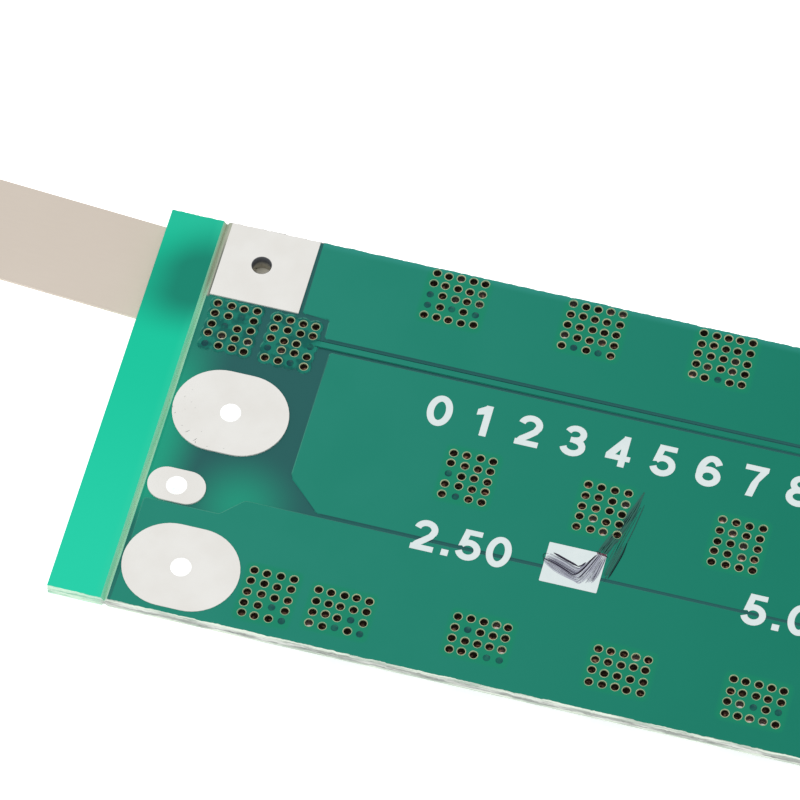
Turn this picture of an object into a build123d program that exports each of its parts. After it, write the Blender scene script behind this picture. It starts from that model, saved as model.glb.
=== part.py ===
from build123d import *
import os

# A battery management board. One end of a green circuit board still carries its process rail, and a nickel
# strip leaves under that rail. The flat face with the vias and the wire pads is on top. Two rows of power
# transistors and the control parts hang under the board, and the board rests on the transistors' flat backs.
# +X runs along the board, away from the rail. +Y runs across it to the far edge. The origin is on the axis
# of the far wire hole, at the top of the copper.

os.makedirs("parts", exist_ok=True)

# Circuit board
board_length = 50.0
board_width = 23.8
board_thickness = 1.0
copper_relief = 0.06
copper_setback = 0.3
copper_gap = 0.2
score_depth = 0.3
score_width = 0.34
rail_width = 2.87
snapped_bulge = 0.1

# Wire pads, placed from the rail's outer edge and from the near long edge
wire_pad_length = 6.2
wire_pad_width = 4.94
wire_pad_from_end = 6.4
far_wire_pad_from_near = 12.3
near_wire_pad_from_near = 2.68
sense_pad_length = 3.1
sense_pad_width = 1.98
sense_pad_from_end = 4.86
sense_pad_from_near = 7.34
wire_hole_radius = 0.55
plating_rise = 0.04

# Square pad for the nickel strip
strip_pad_length = 4.87
strip_pad_width = 4.6
strip_pad_gap_to_score = 0.15
strip_pad_from_far = 0.06
strip_hole_from_pad_end = 2.2
strip_hole_from_pad_far = 2.2

# Vias, drilled from the top and closed by the solder and mask of the transistor side
via_radius = 0.2
via_sides = 5
via_floor = 0.09
wide_pitch = 0.71
narrow_pitch = 0.64
square_pitch = 0.665
tall_pitch = 0.665

# Copper fields on the via side
gate_trace_from_far = 6.2
gate_trace_width = 0.35
middle_field_from_end = 10.47
middle_field_corner = 1.85
near_field_from_near = 7.37
near_field_step = 1.1
near_field_step_from_end = 8.0
link_copper_margin = 0.4

# Copper fields and part pads on the transistor side
lower_fields_from_end = 12.0
part_pad_margin = 0.1

# Nickel strip
strip_width = 5.9
strip_thickness = 0.15
strip_joint_reach = 4.4
strip_free_reach = 17.0
strip_rise = 0.6
strip_rise_from_end = 0.5
strip_rise_length = 10.5
strip_bend_radius = 6.0
strip_turn = 2.2
strip_from_far = 3.72
strip_solder_thickness = 0.1
strip_solder_margin = 0.3

# Power transistors in a flat-tab package
mosfet_body_width = 6.6
mosfet_body_length = 6.1
mosfet_body_height = 2.3
mosfet_parting_height = 1.2
mosfet_draft = 7.0
mosfet_nose_chamfer = 0.35
mosfet_lead_pitch = 2.286
mosfet_lead_width = 0.76
mosfet_lead_reach = 2.8
mosfet_lead_bite = 0.5
mosfet_foot_length = 1.5
mosfet_shoulder_length = 0.6
mosfet_stub_length = 0.7
mosfet_frame_thickness = 0.51
mosfet_tab_width = 5.3
mosfet_tab_reach = 1.0
mosfet_tab_corner = 0.6
mosfet_slug_from_nose = 1.6
mosfet_tip_from_edge = 0.6
solder_thickness = 0.08
solder_margin = 0.2

# Protection controller in a six-lead package
controller_length = 2.9
controller_width = 1.6
controller_height = 1.1
controller_parting_height = 0.6
controller_draft = 8.0
controller_lead_pitch = 0.95
controller_lead_width = 0.4
controller_lead_thickness = 0.16
controller_lead_reach = 0.6
controller_lead_bite = 0.15
controller_foot_length = 0.35
controller_shoulder_length = 0.18
controller_from_end = 9.7
controller_from_near = 7.55

# Chip resistors and capacitors
chip_length = 1.6
chip_width = 0.8
resistor_height = 0.45
capacitor_height = 0.8
terminal_length = 0.3
terminal_wall = 0.03
chip_row_from_end = 11.1
chip_row_from_near = 15.8
chip_row_pitch = 1.45
bypass_chips_from_end = 7.3
bypass_chips_from_near = 8.7
bypass_chip_pitch = 1.9
small_solder_margin = 0.06

# The long edges and the rail's outer edge, seen from the origin
rail_end_x = -wire_pad_from_end
free_end_x = rail_end_x + board_length
near_y = -far_wire_pad_from_near
far_y = near_y + board_width
middle_y = (far_y + near_y) / 2
underside_z = -board_thickness
score_x = rail_end_x + rail_width + score_width / 2
main_end_x = score_x + score_width / 2

sense_pad_place = (rail_end_x + sense_pad_from_end, near_y + sense_pad_from_near)
far_wire_pad_place = (rail_end_x + wire_pad_from_end, near_y + far_wire_pad_from_near)
near_wire_pad_place = (rail_end_x + wire_pad_from_end, near_y + near_wire_pad_from_near)
strip_pad_x = main_end_x + strip_pad_gap_to_score
strip_pad_y = far_y - strip_pad_from_far
strip_hole_place = (strip_pad_x + strip_hole_from_pad_end, strip_pad_y - strip_hole_from_pad_far)

# First via of each block: distance from the rail's outer edge, then from the far edge, the board's middle
# line or the near edge. A far block stands between the leads of one far transistor, and a near block between
# those of one near transistor.
link_blocks = [(3.95, 5.1), (7.22, 5.2)]
far_blocks = [(14.7, 0.37), (22.2, 0.37), (29.3, 0.39), (36.6, 0.38), (43.8, 0.38)]
middle_blocks = [(18.35, 1.03), (25.6, 0.91), (32.85, 0.63), (40.15, 0.8)]
near_corner_block = [(10.12, 3.47)]
near_blocks = [(13.67, 3.2), (21.0, 3.53), (28.4, 3.52), (35.5, 3.5), (42.7, 3.4)]
far_block_count = (5, 5)
middle_block_count = (4, 5)
near_block_count = (5, 4)

# The rows go on for as long as the board has room for the transistor of a block
transistor_room = (far_block_count[0] - 1) * square_pitch / 2 + mosfet_body_width / 2 + copper_setback
far_blocks = [block for block in far_blocks if block[0] + transistor_room < board_length]
middle_blocks = [block for block in middle_blocks if block[0] + transistor_room < board_length]
near_blocks = [block for block in near_blocks if block[0] + transistor_room < board_length]

# Vias that the solder mask has closed: block number, column and row, each counted from 0
closed_link_vias = {(0, 2, 1), (0, 1, 2), (0, 0, 4), (1, 3, 2), (1, 0, 3), (1, 2, 4)}
closed_far_vias = {(0, 0, 2), (0, 0, 3), (0, 2, 3), (0, 4, 3), (1, 1, 4), (1, 3, 4), (2, 2, 4), (4, 1, 3)}
closed_middle_vias = {(0, 0, 2), (0, 1, 4), (3, 3, 3)}
closed_near_corner_vias = {(0, 2, 3), (0, 3, 4)}
closed_near_vias = {(0, 3, 2), (0, 2, 3), (0, 4, 3), (1, 1, 1), (1, 3, 3), (1, 4, 3), (3, 2, 2), (3, 4, 2)}


def via_points(blocks, count, pitch, start_y, closed):
    """Centres of the open vias of some blocks, each block filled from its first via towards +X and -Y."""
    columns, rows = count
    pitch_x, pitch_y = pitch
    points = []
    for number, (from_end, offset) in enumerate(blocks):
        for column in range(columns):
            for row in range(rows):
                if (number, column, row) not in closed:
                    x = rail_end_x + from_end + column * pitch_x
                    points.append((x, start_y + offset - row * pitch_y))
    return points


def from_far(blocks):
    """Blocks given from the far edge, with their offsets turned to point along +Y."""
    return [(from_end, -distance) for from_end, distance in blocks]


link_length = (middle_block_count[0] - 1) * wide_pitch
link_width = (middle_block_count[1] - 1) * narrow_pitch
wide = (wide_pitch, narrow_pitch)
square = (square_pitch, square_pitch)
tall = (square_pitch, tall_pitch)
open_vias = (
    via_points(from_far(link_blocks), middle_block_count, wide, far_y, closed_link_vias)
    + via_points(from_far(far_blocks), far_block_count, square, far_y, closed_far_vias)
    + via_points(middle_blocks, middle_block_count, wide, middle_y, closed_middle_vias)
    + via_points(near_corner_block, middle_block_count, wide, near_y, closed_near_corner_vias)
    + via_points(near_blocks, near_block_count, tall, near_y, closed_near_vias)
)

# Places of the control parts under the board
controller_x = rail_end_x + controller_from_end
controller_y = near_y + controller_from_near
foot_y = controller_width / 2 + controller_lead_reach - controller_foot_length / 2
chip_row_x = rail_end_x + chip_row_from_end
chip_row_y = near_y + chip_row_from_near
bypass_x = rail_end_x + bypass_chips_from_end
bypass_y = near_y + bypass_chips_from_near
chips = [
    (f"resistor_{number + 1}", resistor_height, (chip_row_x, chip_row_y - number * chip_row_pitch), 0)
    for number in range(4)
] + [
    (f"capacitor_{number + 1}", capacitor_height, (bypass_x, bypass_y - number * bypass_chip_pitch), 90)
    for number in range(2)
]

# Circuit board: laminate, copper under green mask, and the process rail, all one panel
with BuildSketch() as panel_outline:
    with Locations((rail_end_x, near_y - snapped_bulge)):
        Rectangle(board_length, board_width + 2 * snapped_bulge, align=Align.MIN)
with BuildSketch() as via_outlines:
    with Locations(*open_vias):
        RegularPolygon(via_radius, via_sides)
via_mouths = via_outlines.faces()
drilled_face = Face(panel_outline.face().outer_wire(), [mouth.outer_wire() for mouth in via_mouths])
with BuildPart() as drilled_layer:
    extrude(drilled_face, amount=via_floor - board_thickness)
with BuildPart() as plain_panel:
    extrude(panel_outline.sketch, amount=-board_thickness)

# The drilled panel is closed from faces: the pierced top, the small walls and floors of the vias, and the
# plain panel's four sides and underside
pierced_top = drilled_layer.faces().sort_by(Axis.Z)[-1]
via_walls = drilled_layer.faces().sort_by(SortBy.AREA)[: via_sides * len(open_vias)]
via_floors = [mouth.moved(Location((0, 0, via_floor - board_thickness))) for mouth in via_mouths]
plain_faces = plain_panel.faces().sort_by(Axis.Z)[:-1]
drilled_panel = Solid(Shell([pierced_top, *via_walls, *via_floors, *plain_faces]))

with BuildPart() as panel_cuts:
    # Scored edges: the long edges were snapped out of a larger panel and bulge between their scores
    with BuildSketch(Plane.YZ.offset(rail_end_x)) as edge_scores:
        for edge_y, outwards in ((far_y, 1), (near_y, -1)):
            for face_z, inwards in ((0, -1), (underside_z, 1)):
                with BuildLine(mode=Mode.PRIVATE) as edge_score:
                    Polyline(
                        (edge_y, face_z),
                        (edge_y + outwards * snapped_bulge, face_z),
                        (edge_y + outwards * snapped_bulge, face_z + inwards * score_depth),
                        close=True,
                    )
                make_face(edge_score.edges())
    extrude(amount=board_length)

    # Bare laminate round the copper fields of the via side
    with BuildSketch() as bare_top:
        add(panel_outline.sketch)
        with BuildLine(mode=Mode.PRIVATE) as far_field_edge:
            far_field_x = strip_pad_x + strip_pad_length + copper_gap
            link_end_x = rail_end_x + link_blocks[1][0] + link_length + link_copper_margin
            link_far_y = far_y - link_blocks[1][1] + link_copper_margin
            trace_far_y = far_y - gate_trace_from_far + gate_trace_width / 2
            Polyline(
                (far_field_x, far_y - copper_setback),
                (free_end_x - copper_setback, far_y - copper_setback),
                (free_end_x - copper_setback, trace_far_y + copper_gap),
                (link_end_x + copper_gap, trace_far_y + copper_gap),
                (link_end_x + copper_gap, link_far_y + copper_gap),
                (far_field_x, link_far_y + copper_gap),
                close=True,
            )
        make_face(far_field_edge.edges(), mode=Mode.SUBTRACT)
        with BuildLine(mode=Mode.PRIVATE) as middle_field_edge:
            trace_near_y = trace_far_y - gate_trace_width
            middle_x = rail_end_x + middle_field_from_end
            near_field_y = near_y + near_field_from_near
            middle_near_y = near_field_y + copper_gap
            Polyline(
                (middle_x, trace_near_y - copper_gap),
                (free_end_x - copper_setback, trace_near_y - copper_gap),
                (free_end_x - copper_setback, middle_near_y),
                (middle_x + middle_field_corner, middle_near_y),
                (middle_x, middle_near_y + middle_field_corner),
                close=True,
            )
        make_face(middle_field_edge.edges(), mode=Mode.SUBTRACT)
        with BuildLine(mode=Mode.PRIVATE) as near_field_edge:
            step_x = rail_end_x + near_field_step_from_end
            Polyline(
                (main_end_x + copper_gap, near_y + copper_setback),
                (free_end_x - copper_setback, near_y + copper_setback),
                (free_end_x - copper_setback, near_field_y),
                (step_x + near_field_step / 2, near_field_y),
                (step_x - near_field_step / 2, near_field_y - near_field_step),
                (main_end_x + copper_gap, near_field_y - near_field_step),
                close=True,
            )
        make_face(near_field_edge.edges(), mode=Mode.SUBTRACT)
        for from_end, distance in link_blocks:
            block_x = rail_end_x + from_end - link_copper_margin
            block_y = far_y - distance + link_copper_margin
            with Locations((block_x, block_y)):
                Rectangle(
                    link_length + 2 * link_copper_margin,
                    link_width + 2 * link_copper_margin,
                    align=(Align.MIN, Align.MAX),
                    mode=Mode.SUBTRACT,
                )
        link_start_x = rail_end_x + link_blocks[0][0]
        with Locations((link_start_x, far_y - gate_trace_from_far)):
            Rectangle(
                free_end_x - copper_setback - link_start_x,
                gate_trace_width,
                align=(Align.MIN, Align.CENTER),
                mode=Mode.SUBTRACT,
            )
        with Locations(sense_pad_place):
            SlotOverall(sense_pad_length + 2 * copper_gap, sense_pad_width + 2 * copper_gap)
        with Locations(far_wire_pad_place, near_wire_pad_place):
            SlotOverall(wire_pad_length, wire_pad_width)
    extrude(amount=-copper_relief)

    # Bare laminate round the copper fields of the transistor side
    with BuildSketch(Plane.XY.offset(underside_z)) as bare_bottom:
        add(panel_outline.sketch)
        lower_field_x = rail_end_x + lower_fields_from_end
        lower_field_length = free_end_x - copper_setback - lower_field_x
        source_field_width = mosfet_tip_from_edge + mosfet_lead_reach - copper_setback
        drain_field_width = board_width - 2 * (copper_setback + source_field_width + copper_gap)
        for field_y, field_width, field_align in (
            (far_y - copper_setback, source_field_width, Align.MAX),
            (middle_y, drain_field_width, Align.CENTER),
            (near_y + copper_setback, source_field_width, Align.MIN),
        ):
            with Locations((lower_field_x, field_y)):
                Rectangle(lower_field_length, field_width, align=(Align.MIN, field_align), mode=Mode.SUBTRACT)
        with Locations(Location((controller_x, controller_y))):
            with GridLocations(controller_lead_pitch, 2 * foot_y, 3, 2):
                Rectangle(
                    controller_lead_width + 2 * part_pad_margin,
                    controller_foot_length + 2 * part_pad_margin,
                    mode=Mode.SUBTRACT,
                )
        for chip_name, chip_height, (chip_x, chip_y), quarter_turn in chips:
            with Locations(Location((chip_x, chip_y), quarter_turn)):
                with GridLocations(chip_length - terminal_length, 0, 2, 1):
                    Rectangle(
                        terminal_length + 2 * part_pad_margin,
                        chip_width + 2 * part_pad_margin,
                        mode=Mode.SUBTRACT,
                    )
    extrude(amount=copper_relief)

    # Scored grooves between the rail and the board, one in each face
    with BuildSketch(Plane.XZ.offset(-far_y - snapped_bulge)) as scores:
        with BuildLine(mode=Mode.PRIVATE) as top_score:
            Polyline(
                (score_x - score_width / 2, 0),
                (score_x + score_width / 2, 0),
                (score_x, -score_depth),
                close=True,
            )
        make_face(top_score.edges())
        with BuildLine(mode=Mode.PRIVATE) as bottom_score:
            Polyline(
                (score_x - score_width / 2, underside_z),
                (score_x + score_width / 2, underside_z),
                (score_x, underside_z + score_depth),
                close=True,
            )
        make_face(bottom_score.edges())
    extrude(amount=board_width + 2 * snapped_bulge)

    # Drilled holes of the pads
    with BuildSketch() as wire_holes:
        with Locations(far_wire_pad_place, near_wire_pad_place, sense_pad_place, strip_hole_place):
            Circle(wire_hole_radius)
    extrude(amount=-board_thickness)

with BuildPart() as board:
    add(drilled_panel)
    add(panel_cuts.part, mode=Mode.SUBTRACT)
board.part.label = "board"
export_step(board.part, "parts/board.step")


def drilled_pads(outline, hole_place):
    """A tinned copper pad on each face of the board, both drilled by one hole."""
    with BuildPart() as pads:
        with BuildSketch(Plane.XY.offset(-copper_relief), Plane.XY.offset(underside_z - plating_rise)):
            add(outline)
            with Locations(hole_place):
                Circle(wire_hole_radius, mode=Mode.SUBTRACT)
        extrude(amount=copper_relief + plating_rise)
    return pads.part


# Tinned pads
with BuildSketch() as far_wire_outline:
    with Locations(far_wire_pad_place):
        SlotOverall(wire_pad_length, wire_pad_width)
with BuildPart() as far_wire_pad:
    add(drilled_pads(far_wire_outline.sketch, far_wire_pad_place))
far_wire_pad.part.label = "far_wire_pad"
export_step(far_wire_pad.part, "parts/far_wire_pad.step")

with BuildSketch() as near_wire_outline:
    with Locations(near_wire_pad_place):
        SlotOverall(wire_pad_length, wire_pad_width)
with BuildPart() as near_wire_pad:
    add(drilled_pads(near_wire_outline.sketch, near_wire_pad_place))
near_wire_pad.part.label = "near_wire_pad"
export_step(near_wire_pad.part, "parts/near_wire_pad.step")

with BuildSketch() as sense_outline:
    with Locations(sense_pad_place):
        SlotOverall(sense_pad_length, sense_pad_width)
with BuildPart() as sense_pad:
    add(drilled_pads(sense_outline.sketch, sense_pad_place))
sense_pad.part.label = "sense_pad"
export_step(sense_pad.part, "parts/sense_pad.step")

with BuildSketch() as strip_pad_outline:
    with Locations((strip_pad_x, strip_pad_y)):
        Rectangle(strip_pad_length, strip_pad_width, align=(Align.MIN, Align.MAX))
with BuildPart() as strip_pad:
    add(drilled_pads(strip_pad_outline.sketch, strip_hole_place))
strip_pad.part.label = "strip_pad"
export_step(strip_pad.part, "parts/strip_pad.step")

# Nickel strip: soldered flat under the square pad, then rising a little as it leaves the rail
strip_joint_z = underside_z - plating_rise - strip_solder_thickness
strip_middle_z = strip_joint_z - strip_thickness / 2
strip_joint_end = strip_pad_x + strip_joint_reach
strip_rise_x = rail_end_x - strip_rise_from_end
strip_plane = Plane.XZ.rotated((0, 0, -strip_turn)).offset(-(far_y - strip_from_far))
with BuildPart() as nickel_strip:
    with BuildSketch(strip_plane) as strip_profile:
        with BuildLine() as strip_line:
            FilletPolyline(
                (strip_joint_end, strip_middle_z),
                (strip_rise_x, strip_middle_z),
                (strip_rise_x - strip_rise_length, strip_middle_z + strip_rise),
                (rail_end_x - strip_free_reach, strip_middle_z + strip_rise),
                radius=strip_bend_radius,
            )
        trace(strip_line.line, line_width=strip_thickness)
    extrude(amount=strip_width / 2, both=True)
nickel_strip.part.label = "nickel_strip"
export_step(nickel_strip.part, "parts/nickel_strip.step")

# Solder between the strip and its pad
with BuildPart() as strip_solder:
    with BuildSketch(Plane.XY.offset(underside_z - plating_rise)) as strip_solder_outline:
        with Locations((strip_pad_x + strip_solder_margin, strip_pad_y - strip_solder_margin)):
            Rectangle(
                strip_joint_reach - 2 * strip_solder_margin,
                strip_pad_width - 2 * strip_solder_margin,
                align=(Align.MIN, Align.MAX),
            )
    extrude(amount=-strip_solder_thickness)
strip_solder.part.label = "strip_solder"
export_step(strip_solder.part, "parts/strip_solder.step")


# Power transistor, built standing on its lead frame: lead tips at Y = 0, tab towards +Y
with BuildPart() as mosfet_leads:
    with BuildSketch() as slug_outline:
        with Locations((0, mosfet_lead_reach + mosfet_slug_from_nose)):
            Rectangle(
                mosfet_tab_width,
                mosfet_body_length - mosfet_slug_from_nose + mosfet_tab_reach,
                align=(Align.CENTER, Align.MIN),
            )
        chamfer(slug_outline.vertices().group_by(Axis.Y)[-1], mosfet_tab_corner)
    extrude(amount=mosfet_frame_thickness)
    for lead_x in (-mosfet_lead_pitch, mosfet_lead_pitch):
        with BuildSketch(Plane.YZ.offset(lead_x)) as lead_profile:
            with BuildLine() as lead_line:
                Polyline(
                    (0, mosfet_frame_thickness / 2),
                    (mosfet_foot_length, mosfet_frame_thickness / 2),
                    (mosfet_lead_reach - mosfet_shoulder_length, mosfet_parting_height),
                    (mosfet_lead_reach + mosfet_lead_bite, mosfet_parting_height),
                )
            trace(lead_line.line, line_width=mosfet_frame_thickness)
        extrude(amount=mosfet_lead_width / 2, both=True)
    with BuildSketch(Plane.YZ) as stub_profile:
        with Locations((mosfet_lead_reach - mosfet_stub_length, mosfet_parting_height)):
            Rectangle(
                mosfet_stub_length + mosfet_lead_bite,
                mosfet_frame_thickness,
                align=(Align.MIN, Align.CENTER),
            )
    extrude(amount=mosfet_lead_width / 2, both=True)

with BuildPart() as mosfet_body:
    with BuildSketch(Plane.XY.offset(mosfet_parting_height)) as body_outline:
        with Locations((0, mosfet_lead_reach)):
            Rectangle(mosfet_body_width, mosfet_body_length, align=(Align.CENTER, Align.MIN))
    extrude(amount=mosfet_body_height - mosfet_parting_height, taper=mosfet_draft)
    with BuildSketch(Plane.XY.offset(mosfet_parting_height)) as body_base_outline:
        add(body_outline.sketch)
    extrude(amount=-mosfet_parting_height, taper=mosfet_draft)
    nose = mosfet_body.faces().sort_by(Axis.Z)[-1].edges().filter_by(Axis.X).sort_by(Axis.Y)[0]
    chamfer(nose, mosfet_nose_chamfer)
    add(mosfet_leads.part, mode=Mode.SUBTRACT)

# Solder under the tab and under the two feet of one transistor
with BuildPart() as mosfet_solder:
    with BuildSketch() as tab_solder_outline:
        with Locations((0, mosfet_lead_reach + mosfet_slug_from_nose)):
            Rectangle(
                mosfet_tab_width + 2 * solder_margin,
                mosfet_body_length - mosfet_slug_from_nose + mosfet_tab_reach + solder_margin,
                align=(Align.CENTER, Align.MIN),
            )
        with Locations((-mosfet_lead_pitch, 0), (mosfet_lead_pitch, 0)):
            with Locations((0, -solder_margin)):
                Rectangle(
                    mosfet_lead_width + 2 * solder_margin,
                    mosfet_foot_length + solder_margin,
                    align=(Align.CENTER, Align.MIN),
                )
    extrude(amount=-solder_thickness)

# The two rows: the far row's leads point to the far edge, the near row's to the near edge
mount_z = underside_z - solder_thickness
far_block_middle = (far_block_count[0] - 1) * square_pitch / 2
far_row = [
    Location((rail_end_x + from_end + far_block_middle, far_y - mosfet_tip_from_edge, mount_z), (180, 0, 0))
    for from_end, distance in far_blocks
]
near_row = [
    Location((rail_end_x + from_end + far_block_middle, near_y + mosfet_tip_from_edge, mount_z), (0, 180, 0))
    for from_end, distance in near_blocks
]
for row_name, row in (("far", far_row), ("near", near_row)):
    for number, place in enumerate(row, start=1):
        with BuildPart() as placed_body:
            with Locations(place):
                add(mosfet_body.part)
        placed_body.part.label = f"{row_name}_mosfet_{number}_body"
        export_step(placed_body.part, f"parts/{placed_body.part.label}.step")
        with BuildPart() as placed_leads:
            with Locations(place):
                add(mosfet_leads.part)
        placed_leads.part.label = f"{row_name}_mosfet_{number}_leads"
        export_step(placed_leads.part, f"parts/{placed_leads.part.label}.step")
    with BuildPart() as row_solder:
        with Locations(*row):
            add(mosfet_solder.part)
    row_solder.part.label = f"{row_name}_row_solder"
    export_step(row_solder.part, f"parts/{row_name}_row_solder.step")

# Protection controller, built standing on its feet, with three leads on each long side
with BuildPart() as controller_leads:
    for lead_x in (-controller_lead_pitch, 0, controller_lead_pitch):
        with BuildSketch(Plane.YZ.offset(lead_x)) as small_lead_profile:
            with BuildLine() as small_lead_line:
                Polyline(
                    (-controller_width / 2 - controller_lead_reach, controller_lead_thickness / 2),
                    (
                        controller_foot_length - controller_width / 2 - controller_lead_reach,
                        controller_lead_thickness / 2,
                    ),
                    (-controller_width / 2 - controller_shoulder_length, controller_parting_height),
                    (-controller_width / 2 + controller_lead_bite, controller_parting_height),
                )
            trace(small_lead_line.line, line_width=controller_lead_thickness)
        extrude(amount=controller_lead_width / 2, both=True)
    mirror(about=Plane.XZ)

with BuildPart() as controller_body:
    with BuildSketch(Plane.XY.offset(controller_parting_height)) as controller_outline:
        Rectangle(controller_length, controller_width)
    extrude(amount=controller_height - controller_parting_height, taper=controller_draft)
    with BuildSketch(Plane.XY.offset(controller_parting_height)) as controller_base_outline:
        add(controller_outline.sketch)
    extrude(amount=controller_lead_thickness - controller_parting_height, taper=controller_draft)
    add(controller_leads.part, mode=Mode.SUBTRACT)

with BuildPart() as controller_solder:
    with BuildSketch() as foot_solder_outline:
        with GridLocations(controller_lead_pitch, 2 * foot_y, 3, 2):
            Rectangle(
                controller_lead_width + 2 * small_solder_margin,
                controller_foot_length + 2 * small_solder_margin,
            )
    extrude(amount=-solder_thickness)


def chip_body(height):
    """The ceramic block of a chip part, which stands on z = 0 inside its end caps."""
    with BuildPart() as block:
        with Locations((0, 0, height / 2)):
            Box(chip_length - 2 * terminal_wall, chip_width - 2 * terminal_wall, height - 2 * terminal_wall)
    return block.part


def chip_terminals(height):
    """The two metal end caps of a chip part, each folded round an end of the block."""
    with BuildPart() as caps:
        with Locations((0, 0, height / 2)):
            with GridLocations(chip_length - terminal_length, 0, 2, 1):
                Box(terminal_length, chip_width, height)
        add(chip_body(height), mode=Mode.SUBTRACT)
    return caps.part


with BuildPart() as chip_solder:
    with BuildSketch() as terminal_solder_outline:
        with GridLocations(chip_length - terminal_length, 0, 2, 1):
            Rectangle(terminal_length + 2 * small_solder_margin, chip_width + 2 * small_solder_margin)
    extrude(amount=-solder_thickness)

# The control parts in their places under the board
controller_place = Location((controller_x, controller_y, mount_z), (180, 0, 0))
with BuildPart() as protection_controller_body:
    with Locations(controller_place):
        add(controller_body.part)
protection_controller_body.part.label = "protection_controller_body"
export_step(protection_controller_body.part, "parts/protection_controller_body.step")
with BuildPart() as protection_controller_leads:
    with Locations(controller_place):
        add(controller_leads.part)
protection_controller_leads.part.label = "protection_controller_leads"
export_step(protection_controller_leads.part, "parts/protection_controller_leads.step")

chip_places = []
for chip_name, chip_height, (chip_x, chip_y), quarter_turn in chips:
    chip_place = Location((chip_x, chip_y, mount_z), (180, 0, quarter_turn))
    chip_places.append(chip_place)
    with BuildPart() as placed_block:
        with Locations(chip_place):
            add(chip_body(chip_height))
    placed_block.part.label = f"{chip_name}_body"
    export_step(placed_block.part, f"parts/{chip_name}_body.step")
    with BuildPart() as placed_caps:
        with Locations(chip_place):
            add(chip_terminals(chip_height))
    placed_caps.part.label = f"{chip_name}_terminals"
    export_step(placed_caps.part, f"parts/{chip_name}_terminals.step")

with BuildPart() as controls_solder:
    with Locations(controller_place):
        add(controller_solder.part)
    with Locations(*chip_places):
        add(chip_solder.part)
controls_solder.part.label = "controls_solder"
export_step(controls_solder.part, "parts/controls_solder.step")
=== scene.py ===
import math
import random

import bmesh
import bpy
import numpy as np
from mathutils import Matrix, Vector
from mathutils.geometry import delaunay_2d_cdt


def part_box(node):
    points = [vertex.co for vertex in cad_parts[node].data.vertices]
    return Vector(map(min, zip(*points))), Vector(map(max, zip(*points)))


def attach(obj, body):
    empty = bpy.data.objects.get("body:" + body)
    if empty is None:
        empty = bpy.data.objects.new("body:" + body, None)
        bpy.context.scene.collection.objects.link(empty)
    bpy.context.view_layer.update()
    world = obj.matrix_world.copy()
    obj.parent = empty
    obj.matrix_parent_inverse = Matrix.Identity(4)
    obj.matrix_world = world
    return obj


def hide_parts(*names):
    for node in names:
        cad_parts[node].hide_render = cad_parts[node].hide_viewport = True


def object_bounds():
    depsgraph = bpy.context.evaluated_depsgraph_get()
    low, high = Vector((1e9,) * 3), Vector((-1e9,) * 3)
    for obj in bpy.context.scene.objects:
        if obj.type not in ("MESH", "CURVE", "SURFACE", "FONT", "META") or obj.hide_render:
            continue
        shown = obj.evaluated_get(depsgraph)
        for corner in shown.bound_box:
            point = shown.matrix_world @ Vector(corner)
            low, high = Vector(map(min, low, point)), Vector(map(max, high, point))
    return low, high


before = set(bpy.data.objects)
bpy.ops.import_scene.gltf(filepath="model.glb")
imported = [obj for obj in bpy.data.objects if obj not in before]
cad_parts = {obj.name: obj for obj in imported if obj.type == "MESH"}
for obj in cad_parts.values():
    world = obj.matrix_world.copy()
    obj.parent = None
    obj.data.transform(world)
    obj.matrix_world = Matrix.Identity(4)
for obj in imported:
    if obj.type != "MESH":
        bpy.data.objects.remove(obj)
CAD_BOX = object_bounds()

# Lengths are written in millimetres, and MM turns them into metres
MM = 0.001

# The board's own box, with the bulge of its snapped long edges taken off
SNAPPED_BULGE = 0.1
board_low, board_high = (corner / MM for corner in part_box("board"))
RAIL_END = board_low.x
FREE_END = board_high.x
NEAR_EDGE = board_low.y + SNAPPED_BULGE
FAR_EDGE = board_high.y - SNAPPED_BULGE
MIDDLE_LINE = (NEAR_EDGE + FAR_EDGE) / 2
UNDERSIDE = board_low.z
FLOOR_LEVEL = CAD_BOX[0][2] / MM

# Circuit board
COPPER_RELIEF = 0.06
COPPER_SETBACK = 0.3
COPPER_GAP = 0.2
COPPER_CORNER = 0.18
SLOPE_REACH = 0.035
SLOPE_MIDDLE = 0.02
LEVEL_BY_SIDES = 0.12
LEVEL_BY_END = 0.05
RAIL_WIDTH = 2.87
SCORE_WIDTH = 0.34
SCORE_DEPTH = 0.3
SCORE_LEFT = RAIL_END + RAIL_WIDTH
SCORE_RIGHT = SCORE_LEFT + SCORE_WIDTH
SCORE_MIDDLE = (SCORE_LEFT + SCORE_RIGHT) / 2
WIRE_HOLE_RADIUS = 0.55
BORE_RADIUS = WIRE_HOLE_RADIUS + 0.01
STRIP_HOLE_INSET = 2.2
HOLE_SIDES = 40
POCKET_DEPTH = 0.065
PAD_TUCK = 0.02
PAST_EDGE = 0.5

# Vias
VIA_RADIUS = 0.222
VIA_SIDES = 14
VIA_DEPTH = 0.91
VIA_WANDER = 0.035
SOLDERED_SHARE = 0.11
PLUG_RADIUS = 0.2
PLUG_INNER = 0.12
PLUG_SAG = 0.035
RING_RADIUS = 0.262
RING_RISE = 0.012
HALO_INNER = 0.34
HALO_OUTER = 0.56
WIDE = (0.71, 0.64)
SQUARE = (0.665, 0.665)

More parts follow.
